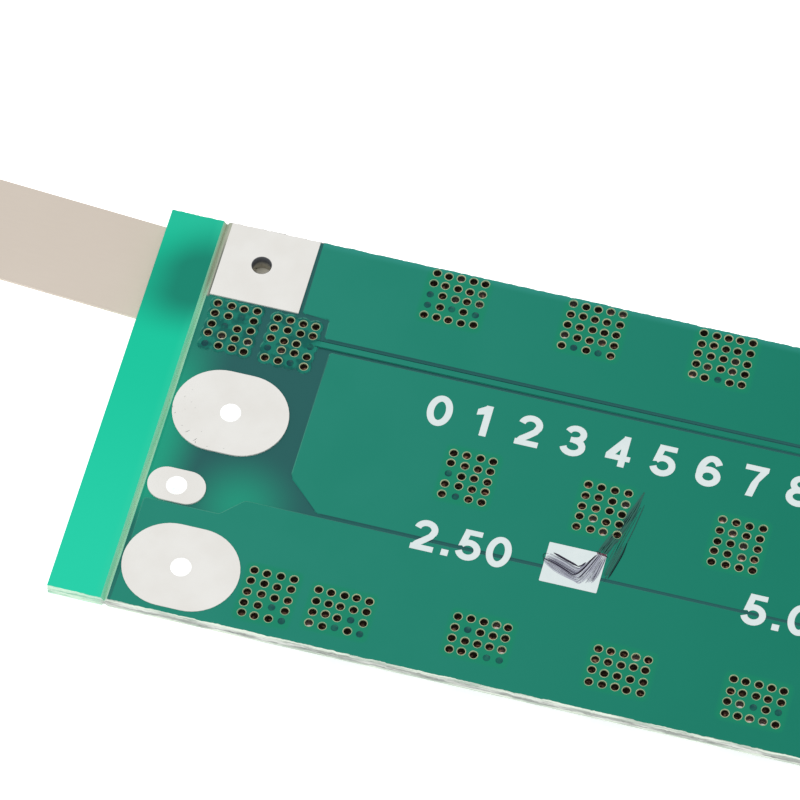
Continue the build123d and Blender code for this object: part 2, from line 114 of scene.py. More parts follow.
# Groups of via blocks: each block's first via from the rail's outer edge and from the group's line, then the
# group's columns and rows, pitch and line, and the vias that the mask has closed as block, column and row
LINK_BLOCKS = [(3.95, -5.1), (7.22, -5.2)]
VIA_GROUPS = [
    (LINK_BLOCKS, (4, 5), WIDE, FAR_EDGE, {(0, 2, 1), (0, 1, 2), (0, 0, 4), (1, 3, 2), (1, 0, 3), (1, 2, 4)}),
    (
        [(14.7, -0.37), (22.2, -0.37), (29.3, -0.39), (36.6, -0.38), (43.8, -0.38)], (5, 5), SQUARE, FAR_EDGE,
        {(0, 0, 2), (0, 0, 3), (0, 2, 3), (0, 4, 3), (1, 1, 4), (1, 3, 4), (2, 2, 4), (4, 1, 3)},
    ),
    (
        [(18.35, 1.03), (25.6, 0.91), (32.85, 0.63), (40.15, 0.8)], (4, 5), WIDE, MIDDLE_LINE,
        {(0, 0, 2), (0, 1, 4), (3, 3, 3)},
    ),
    ([(10.12, 3.47)], (4, 5), WIDE, NEAR_EDGE, {(0, 2, 3), (0, 3, 4)}),
    (
        [(13.67, 3.2), (21.0, 3.53), (28.4, 3.52), (35.5, 3.5), (42.7, 3.4)], (5, 4), SQUARE, NEAR_EDGE,
        {(0, 3, 2), (0, 2, 3), (0, 4, 3), (1, 1, 1), (1, 3, 3), (1, 4, 3), (3, 2, 2), (3, 4, 2)},
    ),
]
via_chooser = random.Random(3)


def group_vias(blocks, count, pitch, line, closed):
    """A group's open and closed vias, each block filled from its first via towards +X and -Y."""
    open_ones = []
    closed_ones = []
    for number, (from_end, offset) in enumerate(blocks):
        for column in range(count[0]):
            for row in range(count[1]):
                place = (
                    RAIL_END + from_end + column * pitch[0] + via_chooser.uniform(-VIA_WANDER, VIA_WANDER),
                    line + offset - row * pitch[1] + via_chooser.uniform(-VIA_WANDER, VIA_WANDER),
                )
                kind = closed_ones if (number, column, row) in closed else open_ones
                kind.append(place)
    return open_ones, closed_ones


groups = [group_vias(*group) for group in VIA_GROUPS]
OPEN_VIAS = [place for group in groups for place in group[0]]
CLOSED_VIAS = [place for group in groups for place in group[1]]
LINK_VIAS = groups[0][0] + groups[0][1]


def halo_boxes(margin):
    """Boxes round the via blocks that stand in a copper field, kept off the long edges."""
    clip = 0.04 + 0.1 * (HALO_OUTER - margin)
    boxes = []
    for blocks, count, pitch, line, _ in VIA_GROUPS[1:]:
        for from_end, offset in blocks:
            left = RAIL_END + from_end
            top = line + offset
            boxes.append((
                left - margin,
                max(top - (count[1] - 1) * pitch[1] - margin, NEAR_EDGE + clip),
                left + (count[0] - 1) * pitch[0] + margin,
                min(top + margin, FAR_EDGE - clip),
            ))
    return boxes


# Plane shapes

def circle(centre, radius, sides):
    """Points of a circle, anticlockwise."""
    angles = [2 * math.pi * step / sides for step in range(sides)]
    return [(centre[0] + radius * math.cos(angle), centre[1] + radius * math.sin(angle)) for angle in angles]


def stadium(box, steps):
    """Outline of a slot that fills a box given as low x, low y, high x, high y."""
    low_x, low_y, high_x, high_y = box
    radius = (high_y - low_y) / 2
    middle = (low_y + high_y) / 2
    points = []
    for centre_x, start in ((high_x - radius, -math.pi / 2), (low_x + radius, math.pi / 2)):
        for step in range(steps + 1):
            angle = start + math.pi * step / steps
            points.append((centre_x + radius * math.cos(angle), middle + radius * math.sin(angle)))
    return points


def rounded(corners, radius, steps=4):
    """A polygon with its corners rounded."""
    points = []
    for here, corner in enumerate(corners):
        corner = Vector(corner)
        before = (Vector(corners[here - 1]) - corner).normalized()
        after = (Vector(corners[(here + 1) % len(corners)]) - corner).normalized()
        for step in range(steps + 1):
            share = step / steps
            away = before * (1 - share) ** 2 + after * share ** 2
            points.append(tuple(corner + away * radius))
    return points


def bar(low_x, low_y, high_x, high_y):
    """A rectangle's corners, anticlockwise."""
    return [(low_x, low_y), (high_x, low_y), (high_x, high_y), (low_x, high_y)]


def shifted(points, distance):
    """An anticlockwise polygon moved outwards by a small distance, or inwards if it is negative."""
    moved = []
    for here, point in enumerate(points):
        before = Vector(points[here - 1])
        after = Vector(points[(here + 1) % len(points)])
        along = (after - before).normalized()
        moved.append((point[0] + along.y * distance, point[1] - along.x * distance))
    return moved


def inside(points, x, y):
    """Which of the places x, y lie inside a polygon."""
    within = np.zeros(np.shape(x), bool)
    for (x0, y0), (x1, y1) in zip([points[-1], *points], points):
        if y0 != y1:
            within ^= ((y0 > y) != (y1 > y)) & (x < (x1 - x0) * (y - y0) / (y1 - y0) + x0)
    return within


def pad_box(node, margin=0.0):
    """A CAD pad's low x, low y, high x, high y, made larger all round by a margin."""
    low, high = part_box(node)
    return low.x / MM - margin, low.y / MM - margin, high.x / MM + margin, high.y / MM + margin


WIRE_PADS = {"far_wire_pad": 24, "near_wire_pad": 24, "sense_pad": 16}
strip = pad_box("strip_pad")
PAD_OUTLINES = [stadium(pad_box(node, -PAD_TUCK), steps) for node, steps in WIRE_PADS.items()]
PAD_OUTLINES.append(bar(*pad_box("strip_pad", -PAD_TUCK)))
HOLES = [
    ((low_x + high_x) / 2, (low_y + high_y) / 2)
    for low_x, low_y, high_x, high_y in (pad_box(node) for node in WIRE_PADS)
]
HOLES.append((strip[0] + STRIP_HOLE_INSET, strip[3] - STRIP_HOLE_INSET))

# Copper fields of the via side
LINK_MARGIN = 0.4
TRACE_FROM_FAR = 6.2
TRACE_WIDTH = 0.35
NEAR_FIELD_WIDTH = 7.37
NEAR_FIELD_STEP = 1.1
MIDDLE_FIELD_CUT = 1.85
far_end = FREE_END + PAST_EDGE
link_end = RAIL_END + LINK_BLOCKS[1][0] + 3 * WIDE[0] + LINK_MARGIN
link_top = FAR_EDGE + LINK_BLOCKS[1][1] + LINK_MARGIN
trace_top = FAR_EDGE - TRACE_FROM_FAR + TRACE_WIDTH / 2
trace_bottom = trace_top - TRACE_WIDTH
near_field_top = NEAR_EDGE + NEAR_FIELD_WIDTH
middle_left = RAIL_END + 10.47
middle_bottom = near_field_top + COPPER_GAP
step_x = RAIL_END + 8.0
near_left = SCORE_RIGHT + COPPER_GAP
FIELDS = [
    rounded([
        (strip[2] + COPPER_GAP, FAR_EDGE + PAST_EDGE),
        (strip[2] + COPPER_GAP, link_top + COPPER_GAP),
        (link_end + COPPER_GAP, link_top + COPPER_GAP),
        (link_end + COPPER_GAP, trace_top + COPPER_GAP),
        (far_end, trace_top + COPPER_GAP),
        (far_end, FAR_EDGE + PAST_EDGE),
    ], COPPER_CORNER),
    rounded([
        (middle_left, trace_bottom - COPPER_GAP),
        (middle_left, middle_bottom + MIDDLE_FIELD_CUT),
        (middle_left + MIDDLE_FIELD_CUT, middle_bottom),
        (far_end, middle_bottom),
        (far_end, trace_bottom - COPPER_GAP),
    ], COPPER_CORNER),
    rounded([
        (near_left, NEAR_EDGE - PAST_EDGE),
        (far_end, NEAR_EDGE - PAST_EDGE),
        (far_end, near_field_top),
        (step_x + NEAR_FIELD_STEP / 2, near_field_top),
        (step_x - NEAR_FIELD_STEP / 2, near_field_top - NEAR_FIELD_STEP),
        (near_left, near_field_top - NEAR_FIELD_STEP),
    ], COPPER_CORNER),
    rounded(bar(link_end - 1.0, trace_bottom, far_end, trace_top), 0.05),
]

# Copper fields of the underside: a source field by each long edge, and the drain field between them
SOURCE_REACH = 3.4
UNDER_CORNER = 0.15
lower_left = RAIL_END + 12.0
source_width = SOURCE_REACH - COPPER_SETBACK
drain_half = (FAR_EDGE - NEAR_EDGE) / 2 - COPPER_SETBACK - source_width - COPPER_GAP
UNDER_FIELDS = [
    rounded(bar(lower_left, low, far_end, high), UNDER_CORNER) for low, high in (
        (FAR_EDGE - COPPER_SETBACK - source_width, FAR_EDGE - COPPER_SETBACK),
        (MIDDLE_LINE - drain_half, MIDDLE_LINE + drain_half),
        (NEAR_EDGE + COPPER_SETBACK, NEAR_EDGE + COPPER_SETBACK + source_width),
    )
]
LOBE_RADIUS = 0.4
LOBE_SHARPNESS = 14.0
LOBE_SLOPE = 0.06


def lobed(x, y):
    """Signed distance to the lobed copper round the link vias, below zero inside it."""
    closeness = np.zeros(np.shape(x))
    for via_x, via_y in LINK_VIAS:
        closeness += np.exp(-LOBE_SHARPNESS * (np.hypot(x - via_x, y - via_y) - LOBE_RADIUS))
    return -np.log(np.maximum(closeness, 1e-9)) / LOBE_SHARPNESS


# Meshes

def new_piece(name, points, faces, materials, slot=None, kinds=None, smooth=False):
    """A piece made from points in millimetres; one with a slot rides on the board."""
    mesh = bpy.data.meshes.new(name)
    mesh.from_pydata([(x * MM, y * MM, z * MM) for x, y, z in points], [], faces)
    for material in materials:
        mesh.materials.append(material)
    mesh.polygons.foreach_set("material_index", kinds or [0] * len(faces))
    mesh.polygons.foreach_set("use_smooth", [smooth] * len(faces))
    mesh.validate()
    mesh.update()
    piece = bpy.data.objects.new(name, mesh)
    bpy.context.scene.collection.objects.link(piece)
    if slot:
        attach(piece, "root")
    return piece


def triangulate(loops, extra=()):
    """Points and triangles of a plane sheet with the loops as edges, and the triangles' middles."""
    points = []
    edges = []
    for loop in loops:
        start = len(points)
        points.extend(Vector(point) for point in loop)
        edges.extend((start + step, start + (step + 1) % len(loop)) for step in range(len(loop)))
    points.extend(Vector(point) for point in extra)
    found = delaunay_2d_cdt(points, edges, [], 0, 1e-6)
    places = np.array([(point.x, point.y) for point in found[0]])
    faces = np.array([tuple(face) for face in found[2]])
    middle = places[faces].mean(axis=1)
    return places, faces, middle[:, 0], middle[:, 1]


def tube(start, rings, sides, closed=False):
    """Faces between rings of points that follow one another, and from the last to the first if closed."""
    faces = []
    for ring in range(rings if closed else rings - 1):
        here = start + ring * sides
        following = start + (ring + 1) % rings * sides
        for step in range(sides):
            after = (step + 1) % sides
            faces.append((here + step, here + after, following + after, following + step))
    return faces


# Snapped long edges: one jagged line each, shared by the top, the side and the underside. Each row has its
# share of the depth and its bulge.
EDGE_STEP = 0.12
EDGE_ROWS = [
    (0.0, 0.0), (0.04, 0.012), (0.12, 0.035), (0.22, 0.07), (0.3, 0.09), (0.36, 0.09), (0.42, 0.085),
    (0.5, 0.09), (0.58, 0.085), (0.64, 0.09), (0.7, 0.09), (0.8, 0.07), (0.9, 0.035), (1.0, 0.0),
]
NEAR_MASK_REACH = 0.1
SCORE_LINES = (SCORE_LEFT, SCORE_MIDDLE, SCORE_RIGHT)
SCORE_CLEARANCE = 0.05
columns = np.arange(RAIL_END, FREE_END, EDGE_STEP)
for score_line in SCORE_LINES:
    columns = columns[np.abs(columns - score_line) > SCORE_CLEARANCE]
columns = np.unique(np.concatenate([columns, SCORE_LINES, [FREE_END]]))
rng = np.random.default_rng(7)


def smooth_noise(width):
    """A random value from -1 to 1 for each column, changing over about width columns."""
    count = len(columns)
    raw = rng.normal(size=count + 4 * width)
    kernel = np.hanning(2 * width + 1)
    kernel /= kernel.sum()
    soft = np.convolve(raw, kernel, "same")[2 * width:2 * width + count]
    return np.clip(soft / (2.2 * soft.std()), -1, 1)


def score_drop(x):
    """How far the scores between the rail and the board cut in at x."""
    share = 1 - np.abs(np.asarray(x) - SCORE_MIDDLE) / (SCORE_RIGHT - SCORE_MIDDLE)
    return SCORE_DEPTH * np.clip(share, 0, None)


def snapped_side(edge_y, outwards, mask_reach):
    """Rows of points down a snapped long edge, from the top to the underside."""
    jag = 0.024 * smooth_noise(3) + 0.02 * smooth_noise(1)
    rows = []
    drop = score_drop(columns)
    for share, bulge in EDGE_ROWS:
        rough = 0.0
        if 0.3 <= share <= 0.7:
            rough = 0.03 * smooth_noise(3) + 0.02 * smooth_noise(1)
        y = edge_y + outwards * (max(bulge, mask_reach * (1 - share)) + jag * (1 - share) + rough - 0.02)
        z = -(drop + share * (-UNDERSIDE - 2 * drop))
        rows.append(np.stack([columns, y, z], axis=1))
    return np.array(rows)


far_side = snapped_side(FAR_EDGE, 1, 0.0)
near_side = snapped_side(NEAR_EDGE, -1, NEAR_MASK_REACH)
END_STEPS = 60


def board_outline(row):
    """The board's outline at one row of its snapped sides."""
    near = [tuple(point[:2]) for point in near_side[row]]
    far = [tuple(point[:2]) for point in far_side[row][::-1]]
    ends = [
        [(x, start + (stop - start) * step / END_STEPS) for step in range(1, END_STEPS)]
        for start, stop, x in ((near[-1][1], far[0][1], FREE_END), (far[-1][1], near[0][1], RAIL_END))
    ]
    return near + ends[0] + far + ends[1]


def across_scores(row):
    """The scores' lines from side to side, at one row of the snapped sides."""
    places = [list(columns).index(x) for x in SCORE_LINES]
    return [[tuple(side[row][place][:2]) for side in (near_side, far_side)] for place in places]


def slope_edges(fields):
    """Lines just outside and inside the edges of copper fields, between which the mask slopes."""
    return [shifted(field, reach) for field in fields for reach in (SLOPE_REACH, -SLOPE_REACH)]


def over_copper(fields, x, y, inset=0.0):
    """Which of the places x, y lie in copper fields, or farther inside them than an inset."""
    over = np.zeros(np.shape(x), bool)
    for field in fields:
        over |= inside(shifted(field, -inset), x, y)
    return over


def kept_level(x, y):
    """Which of the places x, y lie on the rail or by an edge, where the faces have no steps."""
    by_sides = (np.abs(y - FAR_EDGE) < LEVEL_BY_SIDES) | (np.abs(y - NEAR_EDGE) < LEVEL_BY_SIDES)
    return by_sides | (x > FREE_END - LEVEL_BY_END) | (x < SCORE_RIGHT + 0.01)


def top_height(x, y):
    """Height of the top face: copper fields stand above the bare laminate, and the score is cut in."""
    level = over_copper(FIELDS, x, y, SLOPE_MIDDLE) | kept_level(x, y)
    lobes = np.clip(0.5 - lobed(x, y) / LOBE_SLOPE, 0, 1)
    return np.where(level, 0.0, -COPPER_RELIEF * (1 - lobes)) - score_drop(x)


def under_height(x, y):
    """Height of the underside, which steps as the top does."""
    level = over_copper(UNDER_FIELDS, x, y, SLOPE_MIDDLE) | kept_level(x, y)
    return np.where(level, UNDERSIDE, UNDERSIDE + COPPER_RELIEF) + score_drop(x)


# Material indices of the board's faces
OVER_COPPER, OVER_LAMINATE, RAIL, RAW, SIDE, WALL, FILL, PLUG = range(8)


def cut_sheet(loops, extra=(), vias=()):
    """Triangles of a face of the board: inside its outline, and outside its pads and open vias."""
    places, faces, x, y = triangulate(loops, extra)
    keep = inside(loops[0], x, y)
    for outline in PAD_OUTLINES:
        keep &= ~inside(outline, x, y)
    for place in vias:
        in_via = np.hypot(x - place[0], y - place[1]) < VIA_RADIUS
        in_via[in_via] = inside(circle(place, VIA_RADIUS, VIA_SIDES), x[in_via], y[in_via])
        keep &= ~in_via
    return places, faces[keep], x[keep], y[keep]


def face_kinds(copper, x):
    """Materials of triangles, by whether copper lies below them and by the rail and its score."""
    kinds = np.where(copper, OVER_COPPER, OVER_LAMINATE)
    kinds[x < SCORE_RIGHT] = RAW
    kinds[x < SCORE_LEFT] = RAIL
    return kinds


def top_sheet():
    """The via side: places, triangles and their materials."""
    loops = [board_outline(0), *PAD_OUTLINES, *slope_edges(FIELDS)]
    for margin, corner in ((HALO_INNER, 0.2), (HALO_OUTER, 0.5)):
        loops += [rounded(bar(*box), corner) for box in halo_boxes(margin)]
    loops += [circle(place, VIA_RADIUS, VIA_SIDES) for place in OPEN_VIAS]
    for place in CLOSED_VIAS:
        loops += [circle(place, PLUG_RADIUS, VIA_SIDES), circle(place, PLUG_INNER, 8)]
    loops += across_scores(0)
    link_x = np.arange(SCORE_RIGHT + 0.1, link_end + 0.5, LOBE_SLOPE)
    link_y = np.arange(FAR_EDGE - 8.6, link_top + 0.6, LOBE_SLOPE)
    grid = np.array([(x, y) for x in link_x for y in link_y])
    useful = np.abs(lobed(grid[:, 0], grid[:, 1])) < 2 * LOBE_SLOPE
    for place in LINK_VIAS:
        useful &= np.hypot(grid[:, 0] - place[0], grid[:, 1] - place[1]) > VIA_RADIUS + 0.03
    places, faces, x, y = cut_sheet(loops, grid[useful], OPEN_VIAS)
    kinds = face_kinds((lobed(x, y) < 0) | over_copper(FIELDS, x, y), x)
    heights = top_height(places[:, 0], places[:, 1])
    for place in CLOSED_VIAS:
        kinds[np.hypot(x - place[0], y - place[1]) < PLUG_RADIUS - 0.01] = PLUG
        away = np.hypot(places[:, 0] - place[0], places[:, 1] - place[1])
        heights = np.where(away < PLUG_INNER + 0.03, heights - PLUG_SAG, heights)
    return np.column_stack([places, heights]), faces, kinds


def under_sheet():
    """The transistor side of the bare board: a masked face with its pads left open."""
    loops = [board_outline(-1), *PAD_OUTLINES, *slope_edges(UNDER_FIELDS), *across_scores(-1)]
    places, faces, x, y = cut_sheet(loops)
    kinds = face_kinds(over_copper(UNDER_FIELDS, x, y), x)
    return np.column_stack([places, under_height(places[:, 0], places[:, 1])]), faces[:, ::-1], kinds


def grid_faces(rows, count, corners):
    """Faces of a grid of points, whose corners are given as steps from each face's first point."""
    return [
        tuple(row * count + column + corner for corner in corners)
        for row in range(rows - 1) for column in range(count - 1)
    ]


def stitch(mesh, reach):
    """Divides open edges where points of a neighbouring sheet lie on them, so that both can be welded."""
    open_edges = [edge for edge in mesh.edges if edge.is_boundary]
    corners = {point for edge in open_edges for point in edge.verts}
    for edge in open_edges:
        start, stop = edge.verts
        along = stop.co - start.co
        on_edge = []
        for point in corners - {start, stop}:
            share = (point.co - start.co).dot(along) / along.length_squared
            if 0 < share < 1 and (start.co + along * share - point.co).length < reach:
                on_edge.append((share, tuple(point.co)))
        done = 0.0
        for share, place in sorted(on_edge):
            if share - done < 1e-4:
                continue
            start = bmesh.utils.edge_split(edge, start, (share - done) / (1 - done))[1]
            start.co = place
            edge = next(piece for piece in start.link_edges if stop in piece.verts)
            done = share


def build_board(materials):
    """The whole panel as one closed mesh that takes the place of the CAD board."""
    points = []
    faces = []
    kinds = []

    def add(new_points, new_faces, new_kinds):
        start = len(points)
        points.extend(tuple(point) for point in new_points)
        faces.extend(tuple(int(index) + start for index in face) for face in new_faces)
        if isinstance(new_kinds, int):
            new_kinds = [new_kinds] * len(new_faces)
        kinds.extend(int(kind) for kind in new_kinds)

    add(*top_sheet())
    add(*under_sheet())
    rows, count = far_side.shape[:2]
    add(far_side.reshape(-1, 3), grid_faces(rows, count, (0, 1, count + 1, count)), SIDE)
    add(near_side.reshape(-1, 3), grid_faces(rows, count, (count, count + 1, 1, 0)), SIDE)
    count = END_STEPS + 1
    for column, corners in ((0, (1, count + 1, count, 0)), (-1, (0, count, count + 1, 1))):
        across = [
            start + (stop - start) * step / END_STEPS
            for start, stop in zip(near_side[:, column], far_side[:, column]) for step in range(count)
        ]
        add(across, grid_faces(rows, count, corners), SIDE)
    chooser = random.Random(5)
    for place in OPEN_VIAS:
        rim = circle(place, VIA_RADIUS, VIA_SIDES)
        filled = chooser.random() < SOLDERED_SHARE
        bottom = -chooser.uniform(0.6, 0.67) if filled else -VIA_DEPTH
        wall = [(x, y, level) for level in (top_height(*place), bottom) for x, y in rim]
        wall_faces = [face[::-1] for face in tube(0, 2, VIA_SIDES)]
        wall_faces.append(tuple(range(VIA_SIDES, 2 * VIA_SIDES)))
        add(wall, wall_faces, [WALL] * VIA_SIDES + [FILL if filled else WALL])
    for outline, hole in zip(PAD_OUTLINES, HOLES):
        rim = circle(hole, BORE_RADIUS, HOLE_SIDES)
        levels = (-POCKET_DEPTH, UNDERSIDE + POCKET_DEPTH)
        for level, height, step in zip(levels, (top_height, under_height), (-1, 1)):
            wall = [(x, y, height(x, y)) for x, y in outline] + [(x, y, level) for x, y in outline]
            add(wall, [face[::step] for face in tube(0, 2, len(outline))], RAW)
            places, floor_faces, x, y = triangulate([outline, rim])
            floor_faces = floor_faces[inside(outline, x, y) & ~inside(rim, x, y)]
            add([(x, y, level) for x, y in places], floor_faces[:, ::-step], RAW)
        bore = [(x, y, level) for level in levels for x, y in rim]
        add(bore, [face[::-1] for face in tube(0, 2, HOLE_SIDES)], RAW)
    board = new_piece("masked_board", points, faces, materials, "masked_laminate", kinds)
    welded = bmesh.new()
    welded.from_mesh(board.data)
    bmesh.ops.remove_doubles(welded, verts=welded.verts, dist=0.0005 * MM)
    stitch(welded, 0.0008 * MM)
    bmesh.ops.remove_doubles(welded, verts=welded.verts, dist=0.0005 * MM)
    bmesh.ops.holes_fill(welded, edges=[edge for edge in welded.edges if edge.is_boundary], sides=4)
    loose = [point for point in welded.verts if not point.link_faces]
    bmesh.ops.delete(welded, geom=loose, context="VERTS")
    welded.to_mesh(board.data)
    welded.free()
    places = np.array([tuple(point.co) for point in board.data.vertices]) / MM
    x, y = places[:, 0], places[:, 1]
    near_vias = np.zeros(len(places), bool)
    for low_x, low_y, high_x, high_y in halo_boxes(HALO_INNER + 0.005):
        near_vias |= (x > low_x) & (x < high_x) & (y > low_y) & (y < high_y)
    halo = board.data.attributes.new("halo", "FLOAT", "POINT")
    halo.data.foreach_set("value", near_vias.astype(np.float32))
    return board


# Materials

def srgb(red, green, blue):
    """Linear colour of a screen colour from 0 to 255."""
    shares = [value / 255 for value in (red, green, blue)]
    linear = [share / 12.92 if share <= 0.04045 else ((share + 0.055) / 1.055) ** 2.4 for share in shares]
    return (*linear, 1.0)


PER_METRE = 1 / MM
WHITE = (1.0, 1.0, 1.0, 1.0)
SHADER_INPUTS = {
    "colour": "Base Color", "roughness": "Roughness", "metallic": "Metallic",
    "specular": "Specular IOR Level", "emission": "Emission Color", "strength": "Emission Strength",
}


class Nodes:
    """A short way to write a material's node tree, with lengths in millimetres."""

    def __init__(self, name):
        self.material = bpy.data.materials.new(name)
        self.material.use_nodes = True
        self.tree = self.material.node_tree
        self.shader = self.tree.nodes["Principled BSDF"]
        self.place = self.tree.nodes.new("ShaderNodeTexCoord").outputs["Object"]

    def feed(self, socket, value):
        """Gives a socket a value, or links it to another node."""
        if isinstance(value, bpy.types.NodeSocket):
            self.tree.links.new(value, socket)
        else:
            socket.default_value = value

    def node(self, kind, inputs=(), **settings):
        """A new node with its settings and inputs."""
        made = self.tree.nodes.new(kind)
        for key, value in settings.items():
            setattr(made, key, value)
        for key, value in inputs:
            self.feed(made.inputs[key], value)
        return made

    def math(self, operation, first, second=0.0, third=0.0):
        """The result of a calculation with two or three values."""
        made = self.node("ShaderNodeMath", [(0, first), (1, second), (2, third)], operation=operation)
        return made.outputs[0]

    def times(self, first, second):
        """The product of two values."""
        return self.math("MULTIPLY", first, second)

    def mix(self, share, first, second):
        """The first colour, turning into the second as the share goes from 0 to 1."""
        made = self.node("ShaderNodeMix", [(0, share), (6, first), (7, second)], data_type="RGBA")
        return made.outputs[2]

    def over(self, tone, colour, share, *factors):
        """A tone with a colour laid over it, as far as the product of the share and the factors."""
        for factor in factors:
            share = self.times(share, factor)
        return self.mix(share, tone, colour)

    def ramp(self, value, low, high):
        """From 0 to 1 as a value goes from low to high."""
        made = self.node(
            "ShaderNodeMapRange", [("Value", value), ("From Min", low), ("From Max", high)],
            interpolation_type="SMOOTHSTEP",
        )
        return made.outputs["Result"]

    def rise(self, length, low, high):
        """From 0 to 1 as a length goes from low to high."""
        return self.ramp(length, low * MM, high * MM)

    def fall(self, length, low, high):
        """From 1 to 0 as a length goes from low to high."""
        return self.math("SUBTRACT", 1.0, self.rise(length, low, high))

    def axes(self):
        """The three coordinates of a place."""
        return self.node("ShaderNodeSeparateXYZ", [(0, self.place)]).outputs[:]

    def noise(self, scale, detail=3.0, stretch=None):
        """Noise with a number of waves to the millimetre."""
        where = self.place
        if stretch:
            where = self.node("ShaderNodeMapping", [("Vector", where), ("Scale", stretch)]).outputs[0]
        inputs = [("Vector", where), ("Scale", scale * PER_METRE), ("Detail", detail)]
        return self.node("ShaderNodeTexNoise", inputs).outputs["Fac"]

    def bump(self, height, strength, distance):
        """Fine relief of the surface."""
        inputs = [("Strength", strength), ("Distance", distance * MM), ("Height", height)]
        self.feed(self.shader.inputs["Normal"], self.node("ShaderNodeBump", inputs).outputs[0])

    def set(self, **values):
        """Feeds the shader's inputs, and gives the finished material."""
        for key, value in values.items():
            self.feed(self.shader.inputs[SHADER_INPUTS[key]], value)
        return self.material


def glow(nodes, x, y, centre, radius):
    """A soft round patch of light that has passed through the board."""
    dx = nodes.math("SUBTRACT", x, centre[0] * MM)
    dy = nodes.math("SUBTRACT", y, centre[1] * MM)
    away = nodes.math("SQRT", nodes.math("ADD", nodes.times(dx, dx), nodes.times(dy, dy)))
    return nodes.fall(away, 0.0, radius)


def far_slopes(nodes):
    """How far a face leans towards the far edge and the rail, which sets how much painted highlight its slope
    gets.
    """
    normal = nodes.node("ShaderNodeNewGeometry").outputs["True Normal"]
    lean = nodes.node("ShaderNodeSeparateXYZ", [(0, normal)]).outputs
    facing = nodes.math("MULTIPLY_ADD", lean[0], -0.6, lean[1])
    return nodes.times(nodes.ramp(facing, 0.15, 0.6), 0.7)


# Colour of the painted highlight on mask slopes that face the far edge and the rail.
SLOPE_HIGHLIGHT_TONE = srgb(90, 170, 148)


def mask_over_copper():
    """Green mask on a copper field: a painted soft reflection lighter towards the rail end, a little brighter
    between vias, paler along the snapped far edge, painted highlights on slopes.
    """
    nodes = Nodes("mask_over_copper")
    x, y, _ = nodes.axes()
    # Lighter at the rail end and darker towards the free end: a painted soft reflection.
    tone = nodes.mix(nodes.rise(x, RAIL_END, FREE_END), srgb(30, 133, 114), srgb(0, 119, 96))
    tone = nodes.over(tone, srgb(12, 126, 104), nodes.ramp(nodes.noise(0.22, 4.0), 0.35, 0.7), 0.35)
    halo = nodes.node("ShaderNodeAttribute", attribute_name="halo").outputs["Fac"]
    tone = nodes.over(tone, srgb(6, 134, 96), halo, 0.6)
    tone = nodes.over(tone, srgb(48, 146, 134), nodes.rise(y, FAR_EDGE - 0.5, FAR_EDGE), 0.7)
    in_link = nodes.times(nodes.rise(y, -1.0, 0.0), nodes.times(
        nodes.fall(y, link_top + 0.05, link_top + 0.15), nodes.fall(x, link_end - 0.3, link_end + 0.2)
    ))
    tone = nodes.over(tone, srgb(6, 112, 96), in_link, 0.7)
    mottle = nodes.ramp(nodes.noise(1.4, 2.0), 0.44, 0.58)
    tone = nodes.over(tone, srgb(0, 88, 80), in_link, mottle, 0.9)
    # Painted highlight on slopes that face the far edge and the rail.
    tone = nodes.over(tone, SLOPE_HIGHLIGHT_TONE, far_slopes(nodes))
    nodes.bump(nodes.noise(2.5, 2.0), 0.05, 0.02)
    return nodes.set(colour=tone, roughness=0.5, specular=0.15)


def mask_over_laminate():
    """Green mask on bare laminate: dark where copper lies below, lit where light comes through."""
    nodes = Nodes("mask_over_laminate")
    x, y, _ = nodes.axes()
    from_below = nodes.math("MULTIPLY_ADD", nodes.fall(y, 0.0, 4.5), 0.55, 0.35)
    lit = nodes.times(nodes.fall(x, SCORE_RIGHT, SCORE_RIGHT + 2.6), from_below)
    lit = nodes.times(lit, nodes.math("MULTIPLY_ADD", nodes.rise(y, -8.0, -5.5), 0.75, 0.25))
    lit = nodes.math("MAXIMUM", lit, nodes.times(glow(nodes, x, y, (1.9, -5.3), 3.7), 0.72))
    tone = nodes.mix(lit, srgb(34, 93, 91), srgb(22, 160, 128))
    beside_pad = nodes.times(
        nodes.rise(y, strip[1] - 0.2, strip[1]), nodes.fall(x, strip[0] - 0.02, strip[0] + 0.02)
    )
    tone = nodes.over(tone, srgb(112, 118, 110), beside_pad)
    faded = nodes.math(
        "MAXIMUM", nodes.rise(y, strip[3] - 2.2, strip[3] - 0.6),
        nodes.fall(x, SCORE_RIGHT + 0.02, SCORE_RIGHT + 0.1),
    )
    tone = nodes.over(tone, srgb(172, 176, 158), beside_pad, faded)
    # Painted highlight on slopes that face the far edge and the rail.
    tone = nodes.over(tone, SLOPE_HIGHLIGHT_TONE, far_slopes(nodes), 0.6)
    tone = nodes.over(tone, srgb(180, 179, 176), nodes.rise(y, strip[3] - 0.04, strip[3] + 0.01))
    nodes.bump(nodes.noise(2.5, 2.0), 0.05, 0.02)
    return nodes.set(colour=tone, roughness=0.5, specular=0.15)


